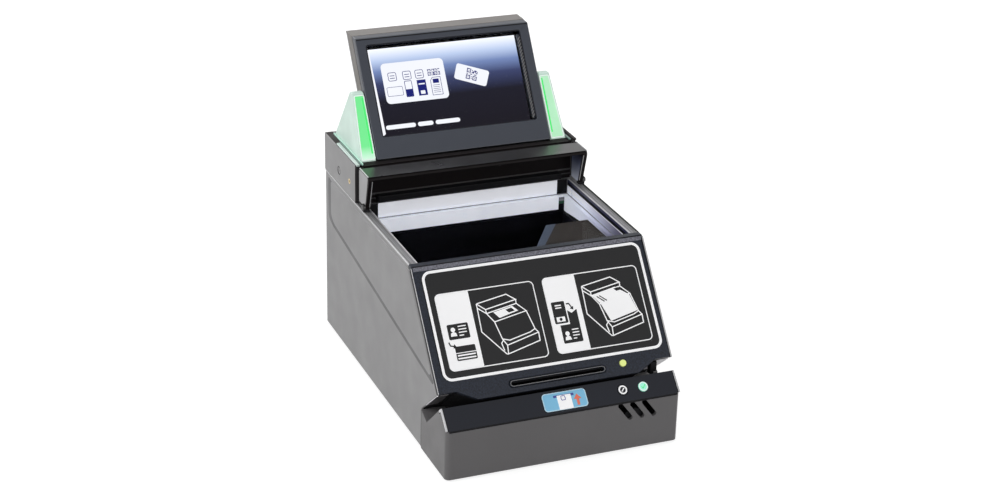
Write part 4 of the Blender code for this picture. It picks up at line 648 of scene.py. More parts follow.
def make_side_covers():
    for name, side in (("left_side_cover", -1), ("right_side_cover", 1)):
        plane = Plane(SIDE.origin, SIDE.across, SIDE.up, SIDE.out * side)
        slab = bmesh.new()
        add_prism(slab, plane, millimetres(COVER_OUTLINE), COVER_INNER, COVER_FACE)
        finish_piece(slab, f"{name}_shell", "grey_case", edge=COVER_EDGE, replaces=[name])
        foot = rounded(millimetres(FIELD_FOOT), FIELD_RADII)
        crest = rounded(millimetres(FIELD_CREST), FIELD_RADII)
        border = bmesh.new()
        add_prism(border, plane, foot, COVER_FACE - SUNK, FIELD_FACE - PRINT, crest)
        # painted shade: the border's faces that look down or back take the darker slope finish
        for face in border.faces:
            face.material_index = int(face.normal.z < -0.005 or face.normal.y > 0.005)
        shown = finish_piece(border, f"{name}_border", "grey_case")
        shown.data.materials.append(FINISH["painted_slope_shade"])
        field = bmesh.new()
        add_prism(field, plane, crest, COVER_FACE, FIELD_FACE)
        finish_piece(field, f"{name}_field", "grey_case", edge=0.0002)


# Label drawings, in millimetres across and up the panel
LABEL_LOW = (-65.3, 5.9)
LABEL_HIGH = (66.5, 68.6)
LABEL_RADIUS = 5.2
LABEL_LINE = 1.5
FRAME_LINE = 0.55
FRAME_RADIUS = 2.6
DRAWING_LINE = 0.6
CARD_FRAME = ((-60.3, 11.3), (-2.3, 54.7))
PASSPORT_FRAME = ((3.5, 11.5), (61.2, 55.1))
COLUMN_WIDTH = 19.5
MACHINE_LINES = (
    ((-37.5, 46.4), (-19.2, 49.4), (-14.3, 45.7), (-32.9, 42.5), (-37.5, 46.4)),
    ((-37.5, 46.4), (-37.5, 44.0), (-32.9, 40.2), (-14.5, 43.4), (-14.3, 45.7)),
    ((-32.9, 42.5), (-32.9, 40.2)),
    ((-37.5, 44.0), (-37.9, 30.4), (-26.4, 16.2), (-25.4, 16.0)),
    ((-32.9, 40.2), (-29.3, 34.9), (-9.6, 38.5), (-14.3, 43.2)),
    ((-29.3, 34.9), (-27.0, 24.8), (-24.9, 20.9), (-25.4, 16.0), (-5.5, 20.8), (-5.3, 25.5)),
    ((-9.6, 38.5), (-6.9, 27.8), (-5.3, 25.5), (-24.9, 20.9)),
    ((-27.0, 24.8), (-22.9, 23.5), (-10.1, 26.3), (-6.9, 27.8)),
    ((-26.2, 24.5), (-28.0, 22.5), (-27.2, 18.2)),
)
MACHINE_SHIFT = (63.5, 1.0)
CARD_ON_GLASS = ((-28.8, 40.3), (-17.2, 42.4), (-14.2, 39.3), (-25.9, 36.7))
CARD_PICTURE = ((-21.6, 40.8), (-18.0, 41.5), (-16.2, 39.6), (-19.8, 38.9))
PAGE_ON_GLASS = ((30.8, 41.6), (45.6, 44.4), (53.3, 38.9), (56.0, 29.2), (38.9, 25.4), (35.0, 36.1))
PAGE_PRINT = ((44.6, 43.4), (47.2, 43.9), (48.9, 42.4), (46.3, 41.9))
PAGE_LINES = (((33.6, 40.4), (37.6, 37.0)), ((35.2, 40.7), (39.2, 37.3)))
CARD_ICON = ((-57.2, 28.5), (-44.9, 37.1))
CARD_BACK_ICON = ((-55.2, 16.4), (-43.4, 24.5))
COVER_ICON = ((5.6, 28.2), (13.5, 40.8))
OPEN_ICON = ((8.2, 16.6), (19.8, 25.6))
OPEN_ICON_TAIL = ((8.2, 25.4), (8.2, 27.2), (14.2, 27.2), (14.2, 35.2), (16.6, 33.4), (19.9, 35.2), (19.9, 25.4))
ICON_RADIUS = 0.7
ICON_LINES = 4
ARROWS = (((-58.0, 27.4), (-57.4, 25.4), (-55.6, 24.8)), ((14.4, 38.9), (16.0, 38.9), (17.2, 36.6)))
ARROW_WIDTH = 0.75


def print_level(order):
    """How far a layer of print stands above the surface; later layers lie on earlier ones."""
    return PRINT * order


def add_print(bm, plane, outline, order=1, base=0):
    add_prism(bm, plane, millimetres(outline), base - SUNK, base + print_level(order))


def add_line(bm, plane, points, width, order=1, base=0, closed=False):
    low, high = base - SUNK, base + print_level(order)
    add_band(bm, plane, millimetres(points), width * MM, low, high, closed)


def portrait(low, height):
    """A plain head and shoulders, as on any card pictogram; low is its lower left corner."""
    x, y = low
    middle = x + height * 0.35
    head = circle((middle, y + height * 0.68), height * 0.24, 16)
    shoulders = [(x, y), (x + height * 0.7, y), (x + height * 0.62, y + height * 0.34)]
    shoulders += [(middle, y + height * 0.46), (x + height * 0.08, y + height * 0.34)]
    return head, shoulders


def arrow_head(tip, behind, size):
    """A triangle at the tip of a line that comes from behind."""
    tip, behind = Vector(tip), Vector(behind)
    along = (tip - behind).normalized()
    side = Vector((-along.y, along.x))
    return [tip + along * size, tip + side * size * 0.8, tip - side * size * 0.8]


def make_label():
    white = bmesh.new()
    inset = LABEL_LINE / 2
    low = (LABEL_LOW[0] + inset, LABEL_LOW[1] + inset)
    high = (LABEL_HIGH[0] - inset, LABEL_HIGH[1] - inset)
    add_line(white, PANEL, rectangle(low, high, LABEL_RADIUS - inset), LABEL_LINE, closed=True)
    for low, high in (CARD_FRAME, PASSPORT_FRAME):
        add_line(white, PANEL, rectangle(low, high, FRAME_RADIUS), FRAME_LINE, closed=True)
        column = [low, (low[0] + COLUMN_WIDTH, low[1]), (low[0] + COLUMN_WIDTH, high[1]), (low[0], high[1])]
        add_print(white, PANEL, rounded(column, (FRAME_RADIUS, 0, 0, FRAME_RADIUS)))
    for across, up in ((0, 0), MACHINE_SHIFT):
        for points in MACHINE_LINES:
            moved = [(x + across, y + up) for x, y in points]
            add_line(white, PANEL, moved, DRAWING_LINE, 2 if across else 1)
    add_print(white, PANEL, CARD_ON_GLASS)
    add_print(white, PANEL, PAGE_ON_GLASS, 3)
    for (x, y), (right, top) in (CARD_ICON, OPEN_ICON):
        for outline in portrait((x + 1.2, y + 1.8), 5.4):
            add_print(white, PANEL, outline, 3)
        for row in range(ICON_LINES):
            level = top - 1.6 - row * 1.7
            end = right - (1.4 if row < ICON_LINES - 1 else 3.4)
            add_line(white, PANEL, ((x + 6.2, level), (end, level)), 0.6, 3)
    x, y = CARD_BACK_ICON[0]
    right = CARD_BACK_ICON[1][0]
    add_line(white, PANEL, ((x, y + 4.3), (right, y + 4.3)), 0.45, 3)
    for level in (y + 1.2, y + 2.9):
        add_line(white, PANEL, ((x + 0.7, level), (right - 0.7, level)), 0.8, 3)
    x, y = COVER_ICON[0]
    for level in (9.0, 10.4):
        add_line(white, PANEL, ((x + 1.9, y + level), (x + 5.6, y + level)), 0.7, 3)
    add_print(white, PANEL, rectangle((x + 1.3, y + 1.0), (x + 6.4, y + 3.8)), 3)
    # the white print glows a little: painted light
    finish_piece(white, "label_white", "print_white_painted_glow")

    black = bmesh.new()
    for low, high in (CARD_ICON, CARD_BACK_ICON, COVER_ICON, OPEN_ICON):
        add_print(black, PANEL, rectangle(low, high, ICON_RADIUS), 2)
    add_print(black, PANEL, OPEN_ICON_TAIL, 2)
    for points in ARROWS:
        add_line(black, PANEL, points, ARROW_WIDTH, 2)
        add_print(black, PANEL, arrow_head(points[-1], points[-2], 1.7), 2)
    add_print(black, PANEL, CARD_PICTURE, 2)
    add_print(black, PANEL, PAGE_PRINT, 4)
    for points in PAGE_LINES:
        add_line(black, PANEL, points, 0.6, 4)
    x, y = COVER_ICON[0]
    add_print(black, PANEL, circle((x + 3.85, y + 2.4), 0.9, 12), 4)
    finish_piece(black, "label_black", "label_print")


# Badge and lights on the nose, in millimetres across and up the cap
BADGE_LOW = (-11.65, 1.52)
BADGE_HIGH = (14.45, 11.92)
BADGE_RADIUS = 2.0
BADGE_LINE = 0.5
BADGE_SLOT = ((-4.9, 8.9), (7.2, 10.2))
BADGE_CARD = ((-2.9, 1.7), (5.4, 9.9))
BADGE_CHIP = (0.6, 8.2)
BADGE_ARROW = (8.9, 2.9)
BADGE_ARROW_LENGTH = 3.6
RING_PLACE = (36.54, 6.99)
READY_PLACE = (49.14, 6.99)
LIGHT_LEVEL = 0.0002


def make_badge():
    plane = CAP
    pale = bmesh.new()
    inset = BADGE_LINE / 2
    low = (BADGE_LOW[0] + inset, BADGE_LOW[1] + inset)
    high = (BADGE_HIGH[0] - inset, BADGE_HIGH[1] - inset)
    add_line(pale, plane, rectangle(low, high, BADGE_RADIUS - inset), BADGE_LINE, closed=True)
    finish_piece(pale, "badge_border", "badge_pale")
    white = bmesh.new()
    add_print(white, plane, rectangle(*BADGE_CARD), 2)
    # the white print glows a little: painted light
    finish_piece(white, "badge_card", "print_white_painted_glow")
    navy = bmesh.new()
    add_print(navy, plane, rectangle(*BADGE_SLOT), 1)
    add_line(navy, plane, rectangle(Vector(BADGE_CHIP) - Vector((1.2, 1.2)),
             Vector(BADGE_CHIP) + Vector((1.2, 1.2)), 0.5), 0.4, 3, closed=True)
    finish_piece(navy, "badge_slot", "print_navy")
    red = bmesh.new()
    top = (BADGE_ARROW[0], BADGE_ARROW[1] + BADGE_ARROW_LENGTH)
    add_line(red, plane, (BADGE_ARROW, top), 1.5, 2)
    add_print(red, plane, arrow_head(top, BADGE_ARROW, 2.8), 2)
    finish_piece(red, "badge_arrow", "print_red")

    ring = bmesh.new()
    add_line(ring, plane, circle(RING_PLACE, 2.15), 0.85, 1, LIGHT_LEVEL, closed=True)
    x, y = RING_PLACE
    add_line(ring, plane, ((x - 0.9, y - 0.9), (x + 0.9, y + 0.9)), 0.6, 1, LIGHT_LEVEL)
    # the white print glows a little: painted light
    finish_piece(ring, "ring_light_mark", "print_white_painted_glow")
    rim = bmesh.new()
    add_line(rim, plane, circle(READY_PLACE, 2.4), 0.5, 1, LIGHT_LEVEL, closed=True)
    finish_piece(rim, "ready_light_rim", "wing_edge")
    tick = bmesh.new()
    x, y = READY_PLACE
    mark = ((x - 1.2, y + 0.1), (x - 0.3, y - 0.9), (x + 1.3, y + 1.1))
    add_line(tick, plane, mark, 0.55, 1, LIGHT_LEVEL)
    finish_piece(tick, "ready_light_tick", "green_light")


# Screen picture, in millimetres across and up the display's face
SCREEN_LEVEL = -0.0043
SCREEN_LOW = (-47.4, 14.6)
SCREEN_HIGH = (46.4, 67.9)
TILE = ((-41.4, 33.8), (-2.0, 58.6))
TILE_RADIUS = 2.6
TILE_ICONS = ((-37.8, 47.6), (-28.6, 47.6), (-20.8, 47.6))
TILE_ICON_SIZE = 5.0
CODE_PLACE = (-11.0, 50.4)
CODE_SIZE = 3.9
SHOWN_CARD = ((6.6, 54.4), (26.2, 47.2), (22.2, 38.0), (2.9, 45.2))
SHOWN_CODE = (14.6, 46.4)
SHOWN_CODE_SIZE = 6.8
SHOWN_TURN = math.radians(-20.5)
BAR_LEVEL = 19.8
BAR_HEIGHT = 2.6
BARS = ((-43.6, -27.5), (-23.6, -16.4), (-12.4, 0.6))


def code_cell_is_dark(row, column, count):
    """A generic pattern: a ring and a core in three corners, and a scatter by plain arithmetic elsewhere."""
    for corner_row, corner_column in ((0, 0), (0, count - 5), (count - 5, 0)):
        r, c = row - corner_row, column - corner_column
        if -1 <= r <= 5 and -1 <= c <= 5:
            return 0 <= r <= 4 and 0 <= c <= 4 and (r in (0, 4) or c in (0, 4) or (r, c) == (2, 2))
    return (row * row + 3 * column + row * column) % 5 < 3


def add_code(bm, plane, centre, size, count, turn, order, base):
    """A square of cells, turned about its centre; neighbours in a row are joined into one bar."""
    centre = Vector(centre)
    spin = Matrix.Rotation(turn, 2)
    cell = size / count
    for row in range(count):
        column = 0
        while column < count:
            run = column
            while run < count and code_cell_is_dark(row, run, count):
                run += 1
            if run > column:
                low = Vector((column - count / 2, row - count / 2)) * cell
                high = Vector((run - count / 2, row + 0.98 - count / 2)) * cell
                corners = (low, Vector((high.x, low.y)), high, Vector((low.x, high.y)))
                add_print(bm, plane, [centre + spin @ c for c in corners], order, base)
            column = run + 1


def make_screen():
    plane, base = FACE, SCREEN_LEVEL
    picture = bmesh.new()
    add_print(picture, plane, rectangle(SCREEN_LOW, SCREEN_HIGH), 1, base)
    finish_piece(picture, "screen_sky", "screen_sky", "display")
    white = bmesh.new()
    add_print(white, plane, rectangle(*TILE, TILE_RADIUS), 2, base)
    add_print(white, plane, rounded(SHOWN_CARD, 1.4), 2, base)
    for start, end in BARS:
        add_print(white, plane, capsule((start, BAR_LEVEL), (end, BAR_LEVEL), BAR_HEIGHT / 2), 2, base)
    finish_piece(white, "screen_white", "screen_white", "display")
    navy = bmesh.new()
    for x, y in TILE_ICONS:
        box = rectangle((x, y), (x + TILE_ICON_SIZE, y + TILE_ICON_SIZE), 0.9)
        add_line(navy, plane, box, 0.35, 3, base, closed=True)
        for level in (1.6, 3.1):
            ends = ((x + 1.0, y + level), (x + TILE_ICON_SIZE - 1.0, y + level))
            add_line(navy, plane, ends, 0.4, 3, base)
    for i in range(2):
        add_code(navy, plane, (CODE_PLACE[0] + CODE_SIZE * i, CODE_PLACE[1]), CODE_SIZE, 9, 0, 3, base)
    add_line(navy, plane, rectangle((-39.9, 38.4), (-30.2, 43.8), 0.6), 0.25, 3, base, closed=True)
    add_line(navy, plane, rectangle((-28.4, 37.0), (-24.0, 46.6), 0.5), 0.35, 3, base, closed=True)
    add_print(navy, plane, rectangle((-28.2, 37.2), (-24.2, 41.6)), 3, base)
    add_print(navy, plane, rectangle((-20.7, 36.9), (-15.1, 46.5)), 3, base)
    page = ((-12.0, 36.4), (-5.6, 36.4), (-5.6, 47.2), (-10.6, 47.2), (-12.0, 45.4))
    add_line(navy, plane, page, 0.3, 3, base, closed=True)
    add_print(navy, plane, rectangle((-10.6, 43.6), (-6.8, 46.2)), 3, base)
    for row in range(5):
        level = 38.0 + row * 1.1
        add_line(navy, plane, ((-11.0, level), (-6.6, level)), 0.25, 3, base)
    add_code(navy, plane, SHOWN_CODE, SHOWN_CODE_SIZE, 13, SHOWN_TURN, 3, base)
    finish_piece(navy, "screen_navy", "screen_navy", "display")
    light = bmesh.new()
    add_print(light, plane, rectangle((-19.8, 43.6), (-16.0, 44.4)), 4, base)
    add_print(light, plane, rectangle((-19.3, 37.8), (-16.5, 39.9), 0.3), 4, base)
    finish_piece(light, "screen_notes", "screen_white", "display")

    make_screen_rim()


RIM_LOW = (-49.2, 13.5)
RIM_HIGH = (49.2, 69.9)
RIM_WALL = 0.5
RIM_DEEP = -0.0038
RIM_FRONT_LEVEL = -0.0004
RIB_COUNT = 26
RIB_SPAN = (47.0, 48.7)
RIB_TOP = -0.0012
# Painted highlight on the left wall of the screen opening
SCREEN_RIM_HIGHLIGHT = ((-48.8, 15.2), (-46.8, 15.2), (-47.9, 66.5), (-48.8, 66.5))


def make_screen_rim():
    """The inner walls of the bezel's opening, ribbed on the right, with a glowing painted highlight along the
    left wall.
    """
    plane = FACE
    rim = bmesh.new()
    half = RIM_WALL / 2
    low, high = Vector(RIM_LOW) + Vector((half, half)), Vector(RIM_HIGH) - Vector((half, half))
    add_band(rim, plane, millimetres(rectangle(low, high, 1.0)), RIM_WALL * MM, RIM_DEEP,
             RIM_FRONT_LEVEL, closed=True)
    finish_piece(rim, "screen_rim", "gloss_black", "display")
    bed = bmesh.new()
    start, end = RIM_LOW[1] + 1.5, RIM_HIGH[1] - 2.5
    inner, outer = RIB_SPAN
    add_prism(bed, plane, millimetres(rectangle((inner, start), (outer, end))), RIM_DEEP, RIB_TOP - 0.0005)
    finish_piece(bed, "screen_rim_bed", "bezel_black", "display")
    ribbing = bmesh.new()
    pitch = (end - start) / RIB_COUNT
    for i in range(RIB_COUNT - 1):
        y = start + i * pitch
        rib = ((inner, y), (outer, y + pitch * 0.9), (outer, y + pitch * 1.4), (inner, y + pitch * 0.5))
        add_prism(ribbing, plane, millimetres(rib), RIM_DEEP, RIB_TOP)
    finish_piece(ribbing, "screen_rim_ribs", "rib_grey", "display")
    # painted highlight: a glowing band against the left wall of the opening
    light = bmesh.new()
    add_prism(light, plane, rounded(millimetres(SCREEN_RIM_HIGHLIGHT), 0.0006), RIM_DEEP, RIM_FRONT_LEVEL - 0.0004)
    finish_piece(light, "screen_edge_light", "screen_white", "display")


# Wings, and the clear strips and dark rails beside them
WING_FRONT = (158.0, 126.3)
WING_TOP = 160.6
WING_BACK = 207.0
WING_CREST = 4.3
WING_INNER = 55.8
WING_OUTER = 65.2
WING_TAPER = 2.4
BORDER = 1.0
INNER_BORDER = 0.35
LAMP_LINE = (1.1, 0.9)
STRIP_LOW = 0.9
STRIP_HIGH = 39.6
DECK_STRIPS = (
    ("bed", 65.2, 69.75, 152.4, 190.2, 0.25, "inner_black"),
    ("inner_strip", 65.35, 66.2, 152.6, 207.0, 1.1, "clear_mint"),
    ("middle_strip", 66.65, 67.3, 153.4, 192.0, 0.9, "clear_grey"),
    ("outer_strip", 67.8, 69.7, 152.2, 190.0, 1.0, "clear_white"),
    ("rail", 65.3, 69.55, 190.4, 211.2, 0.3, "rail_brown"),
)
SHADED_STRIPS = {"inner_strip": "clear_grey", "middle_strip": "inner_black", "outer_strip": "rail_brown"}
DECK_TOP = 126.3


def wing_width(z):
    """Half the wings' overall width at a height: the outer faces lean in towards the top."""
    return WING_OUTER - WING_TAPER * (z - DECK_TOP) / (WING_TOP - DECK_TOP)


def add_leaning_prism(bm, side, outline):
    """A wing between its upright inner face and its leaning outer face, from an outline in side view."""
    inner, outer = [], []
    for y, z in outline:
        base = ORIGIN + Vector((0, y, z)) * MM
        inner.append(bm.verts.new(base + Vector((side * WING_INNER * MM, 0, 0))))
        outer.append(bm.verts.new(base + Vector((side * wing_width(z) * MM, 0, 0))))
    faces = [bm.faces.new(inner), bm.faces.new(outer)]
    for i in range(len(outline)):
        j = (i + 1) % len(outline)
        faces.append(bm.faces.new((inner[i], inner[j], outer[j], outer[i])))
    bmesh.ops.recalc_face_normals(bm, faces=faces)


def make_wings():
    y, z = WING_FRONT
    crest = y + (WING_TOP - z) * math.tan(FACE_LEAN)
    outline = [(y, z - 1.2), (y, z), (crest, WING_TOP), (crest + WING_CREST, WING_TOP), (WING_BACK, z)]
    outline = rounded(outline + [(WING_BACK, z - 1.2)], (0, 0, 1.2, 1.6, 0, 0))
    front = plane_in_side_view(Vector(WING_FRONT) * MM, Vector((math.sin(FACE_LEAN), math.cos(FACE_LEAN))))
    for name, side, finish in (("wing_left", -1, "wing_strip"), ("wing_right", 1, "wing_pale_green")):
        shell = bmesh.new()
        add_leaning_prism(shell, side, outline)
        finish_piece(shell, f"{name}_shell", "wing_frost", edge=0.0005, replaces=[name])
        corners = []
        for level in (STRIP_LOW, STRIP_HIGH):
            corners.append((side * (WING_INNER + INNER_BORDER), level))
        for level in (STRIP_HIGH, STRIP_LOW):
            height = z + level * math.cos(FACE_LEAN)
            corners.append((side * (wing_width(height) - BORDER), level))
        strip = bmesh.new()
        outer_ring = rounded(corners, 0.7)
        add_print(strip, front, outer_ring, 2)
        finish_piece(strip, f"{name}_strip", finish)
        border = bmesh.new()
        add_line(border, front, outer_ring, 0.55, 3, closed=True)
        finish_piece(border, f"{name}_strip_border", "wing_edge")
        line = bmesh.new()
        inset, width = LAMP_LINE
        x = side * (WING_INNER + INNER_BORDER + inset)
        add_line(line, front, ((x, STRIP_LOW + 3.5), (x, STRIP_HIGH - 1.5)), width, 3)
        finish_piece(line, f"{name}_lamp_line", "wing_green")


def make_deck_edges():
    for name, side in (("left", -1), ("right", 1)):
        for part, inner, outer, front, back, height, finish in DECK_STRIPS:
            strip = bmesh.new()
            ends = sorted((side * inner, side * outer))
            shape = rectangle((ends[0], front), (ends[1], back), 0.3)
            add_prism(strip, PLAN, millimetres(shape), DECK_TOP * MM - SUNK, (DECK_TOP + height) * MM)
            stands_for = [f"wing_foot_{name}"] if part == "inner_strip" else ()
            if side > 0:
                finish = SHADED_STRIPS.get(part, finish)
            finish_piece(strip, f"deck_{part}_{name}", finish, edge=0.0001, replaces=stands_for)


# The header's recessed neck is painted black as shade, its outer side faces a lighter painted shade, the housing
# behind it grey
NECK_BACK = 154.45
NECK_SIDE = 0.0661
HEADER_REACH = 80
HEADER_LEVELS = (0.095, 0.135)
MOUTH_WALL = 0.1516
MOUTH_REACH = 66.0
MOUTH_LINES = ((108.4, 1.0), (105.6, 0.6))


def make_header():
    parts = (
        ("header_shell", NECK_BACK - HEADER_REACH, NECK_BACK, "grey_case", 0.0007),
        ("header_neck", NECK_BACK, NECK_BACK + HEADER_REACH, "dark_case", 0.0001),
    )
    for name, start, end, finish, edge in parts:
        obj = copy_of("header_housing", name)
        cutter = bmesh.new()
        shape = rectangle((-HEADER_REACH, start), (HEADER_REACH, end))
        add_prism(cutter, PLAN, millimetres(shape), *HEADER_LEVELS)
        carve(obj, cutter)
        show_for(obj, "header_housing", finish, edge=edge)
    # painted shade: the neck's outer side faces dark grey, the rest of the neck black
    obj.data.materials.append(FINISH["painted_shade_grey"])
    for polygon in obj.data.polygons:
        polygon.material_index = int(abs(polygon.center.x) > NECK_SIDE)
    lines = bmesh.new()
    forward = Plane(ORIGIN, Vector((1, 0, 0)), Vector((0, 0, 1)), Vector((0, -1, 0)))
    for level, width in MOUTH_LINES:
        add_line(lines, forward, ((-MOUTH_REACH, level), (MOUTH_REACH, level)), width, 3, -MOUTH_WALL)
    finish_piece(lines, "mouth_lines", "mouth_line")


# Grey plates on the hood's cheeks, painted as the reflection on the hood's glossy black sides, with a painted
# highlight line along their edges
HOOD_SIDE = 68.7
HOOD_TIP = (138.75, 104.6)
HOOD_FRONT = (132.8, 126.3)
HOOD_REAR = 151.2
CHEEK_INSET = 0.9
CHEEK_PLATE = 0.12
HOOD_KNOB = ((139.9, 105.5), 1.6)
HOOD_KNOB_FACE = 0.0707
HOOD_TOP = 0.1263
HOOD_SHEET = ((-68.2, 134.0), (68.2, 148.0))


def make_hood_top():
    sheet = bmesh.new()
    add_print(sheet, PLAN, rectangle(*HOOD_SHEET, 0.5), 1, HOOD_TOP)
    finish_piece(sheet, "hood_top_sheen", "hood_gloss", "hood")


def make_hood_cheeks():
    low, high = HOOD_TIP[1] + CHEEK_INSET, HOOD_FRONT[1] - CHEEK_INSET
    shape = [(HOOD_TIP[0] + CHEEK_INSET, low), (HOOD_REAR - 0.6, low), (HOOD_REAR - 0.6, high)]
    shape.append((HOOD_FRONT[0] + CHEEK_INSET + 1.2, high))
    top = ((HOOD_REAR - 1.5, HOOD_FRONT[1] - 0.15), (HOOD_FRONT[0] + 2.0, HOOD_FRONT[1] - 0.15))
    rise = Vector((HOOD_FRONT[0] - HOOD_TIP[0], HOOD_FRONT[1] - HOOD_TIP[1]))
    front = plane_in_side_view(Vector(HOOD_TIP) * MM, rise)
    for name, side in (("left", -1), ("right", 1)):
        plane = Plane(SIDE.origin, SIDE.across, SIDE.up, SIDE.out * side)
        levels = ((HOOD_SIDE - CHEEK_PLATE) * MM, (HOOD_SIDE + CHEEK_PLATE) * MM)
        plate = bmesh.new()
        add_prism(plate, plane, rounded(millimetres(shape), (0.0004, 0.0004, 0.0015, 0.0012)), *levels)
        finish_piece(plate, f"hood_cheek_{name}", "hood_painted_reflection", "hood", edge=0.0001)
        crest = bmesh.new()
        add_band(crest, plane, millimetres(top), 0.0005, (HOOD_SIDE - 0.4) * MM, levels[1])
        finish_piece(crest, f"hood_crest_{name}", "painted_edge_highlight", "hood")
        bead = bmesh.new()
        x = side * (HOOD_SIDE - 2.3)
        add_line(bead, front, ((x, 1.2), (x, rise.length - 3.0)), 0.45, 1)
        finish_piece(bead, f"hood_edge_{name}", "painted_highlight_grey", "hood")
        knob = bmesh.new()
        add_prism(knob, plane, millimetres(circle(*HOOD_KNOB)), levels[0], HOOD_KNOB_FACE)
        finish_piece(knob, f"hood_knob_{name}", "mouth_line", "hood", edge=0.0005)


# Edge lines of the case in side view: points, width, levels out from the middle, finish and sides. The pale and
# grey lines are painted highlights along edges; the black line on the right cover's top edge, the two dark
# strips behind the panel's ends and the black line beside the right panel end are painted shade.
PANEL_END = ((12.95, 46.1), (57.75, 101.85))
PANEL_CORNER = ((12.92, 46.48), (58.10, 101.68))
PANEL_SHADE = ((14.10, 45.90), (59.11, 100.86))
PANEL_SOFT_SHADE = ((15.70, 45.15), (60.30, 99.65))
CAP_END = ((0.62, 30.0), (9.52, 38.67), (11.86, 36.58))
COVER_TOP = ((61.8, 102.3), (211.6, 102.3))
BOTH, LEFT, RIGHT = (-1, 1), (-1,), (1,)
EDGE_LINES = (
    ("cover_top", COVER_TOP, 0.5, 69.3, 70.05, "painted_edge_highlight", LEFT),
    # painted shade: the right cover's top edge drawn black, where the left one has a painted highlight
    ("cover_top", COVER_TOP, 0.5, 69.3, 70.05, "inner_black", RIGHT),
    ("cover_seam", ((39.55, 0.8), (39.55, 24.0)), 0.45, 69.2, 70.04, "inner_black", BOTH),
    ("header_top", ((190.6, 126.0), (211.4, 126.0)), 0.35, 69.4, 70.03, "painted_highlight_grey", BOTH),
    ("cap_end", CAP_END, 1.30, 69.15, 70.08, "painted_edge_highlight", LEFT),
    ("cap_end", CAP_END, 1.30, 69.15, 70.08, "painted_highlight_grey", RIGHT),
    ("cap_line", CAP_END, 1.28, 68.7, 69.15, "inner_black", BOTH),
    ("panel_end", PANEL_CORNER, 0.75, 69.85, 70.08, "painted_edge_highlight", LEFT),
    # painted shade: dark strips behind the panel's ends, black next to the edge and dark grey further back
    ("panel_shade", PANEL_SHADE, 1.75, 69.6, 70.06, "inner_black", BOTH),
    ("panel_soft_shade", PANEL_SOFT_SHADE, 1.55, 69.6, 69.9, "painted_shade_grey", BOTH),
    ("panel_end", PANEL_END, 1.4, 69.25, 70.08, "painted_highlight_grey", RIGHT),
    # painted shade: a black line beside the right panel end's grey line
    ("panel_line", PANEL_END, 1.4, 68.85, 69.25, "inner_black", RIGHT),
)

# painted highlight along the display back's side edges
DISPLAY_EDGE = (((213.75, 186.8), (189.0, 150.0)), 0.6, 54.5, 55.45)


def make_edge_lines():
    for name, side in (("left", -1), ("right", 1)):
        plane = Plane(SIDE.origin, SIDE.across, SIDE.up, SIDE.out * side)
        for part, points, width, low, high, finish, sides in EDGE_LINES:
            if side not in sides:
                continue
            line = bmesh.new()
            add_band(line, plane, millimetres(points), width * MM, low * MM, high * MM)
            finish_piece(line, f"{part}_{name}", finish, edge=0.00012)
        line = bmesh.new()
        points, width, low, high = DISPLAY_EDGE
        add_band(line, plane, millimetres(points), width * MM, low * MM, high * MM)
        finish_piece(line, f"display_edge_{name}", "painted_edge_highlight", "display", edge=0.00012)


# Lines and bands across the front: plane, lower left and upper right corner, finish and body. The lighter band
# on the panel's lip is a painted sheen.
FRONT = Plane(ORIGIN, Vector((1, 0, 0)), Vector((0, 0, 1)), Vector((0, -1, 0)))
FRONT_BANDS = (
    ("nose_seam", FRONT, (-68.4, 28.9), (68.4, 30.05), "inner_black", "reader"),
    ("panel_lip", PANEL, (-69.1, 69.15), (69.1, 71.45), "panel_painted_sheen", "reader"),
    ("panel_crest", PANEL, (-69.2, 71.45), (69.2, 72.1), "inner_black", "reader"),
    ("bezel_crest", FACE, (-54.6, 73.0), (54.6, 73.6), "inner_black", "display"),
)
SLOT_LINE = ((-26.75, -0.7), (26.75, -0.7), 1.5)
SLOT_LEVEL = 0.0003


def make_front_bands():
    for name, plane, low, high, finish, body in FRONT_BANDS:
        band = bmesh.new()
        add_print(band, plane, rectangle(low, high, 0.2), 2)
        finish_piece(band, name, finish, body)
    line = bmesh.new()
    add_line(line, PANEL, capsule(*SLOT_LINE), 0.3, 1, SLOT_LEVEL, closed=True)
    finish_piece(line, "card_slot_line", "rib_grey")


# Lines along the rails beside the window: place across, width, height and finish. The pale line is a painted
# highlight, and the black outer line, drawn on the right only, is painted shade.
RAIL_LINES = (
    (64.6, 0.60, 102.3, "painted_edge_highlight"),
    (66.0, 0.25, 102.3, "mouth_line"),
    (67.0, 0.20, 102.3, "rib_grey"),
    (69.3, 1.3, 102.6, "inner_black"),
)
RAIL_ENDS = (63.4, 150.0)


def make_rail_lines():
    for name, side in (("left", -1), ("right", 1)):
        for i, (x, width, height, finish) in enumerate(RAIL_LINES if side > 0 else RAIL_LINES[:-1]):
            line = bmesh.new()
            ends = ((side * x, RAIL_ENDS[0]), (side * x, RAIL_ENDS[1]))
            add_line(line, PLAN, ends, width, 1, height * MM)
            finish_piece(line, f"rail_line_{name}_{i + 1}", finish)


# Ends of the swipe channel: a bright strip under the panel's foot, metal on the left and a pale painted
# reflection on the right, an end block and its small roller
SLOPE_FOOT = (39.7, 24.5)
SLOPE_TOP = (14.82, 44.93)
SLOPE_STRIP = ((62.6, 8.0), (69.6, 30.6))
BLOCK_SHAPE = ((13.4, 37.0), (17.6, 36.4), (17.4, 42.6), (15.2, 44.4), (13.4, 44.4))
BLOCK_SPAN = (57.4, 61.2)
ROLLER = ((14.2, 37.7), 1.1)
ROLLER_SPAN = (59.3, 61.9)


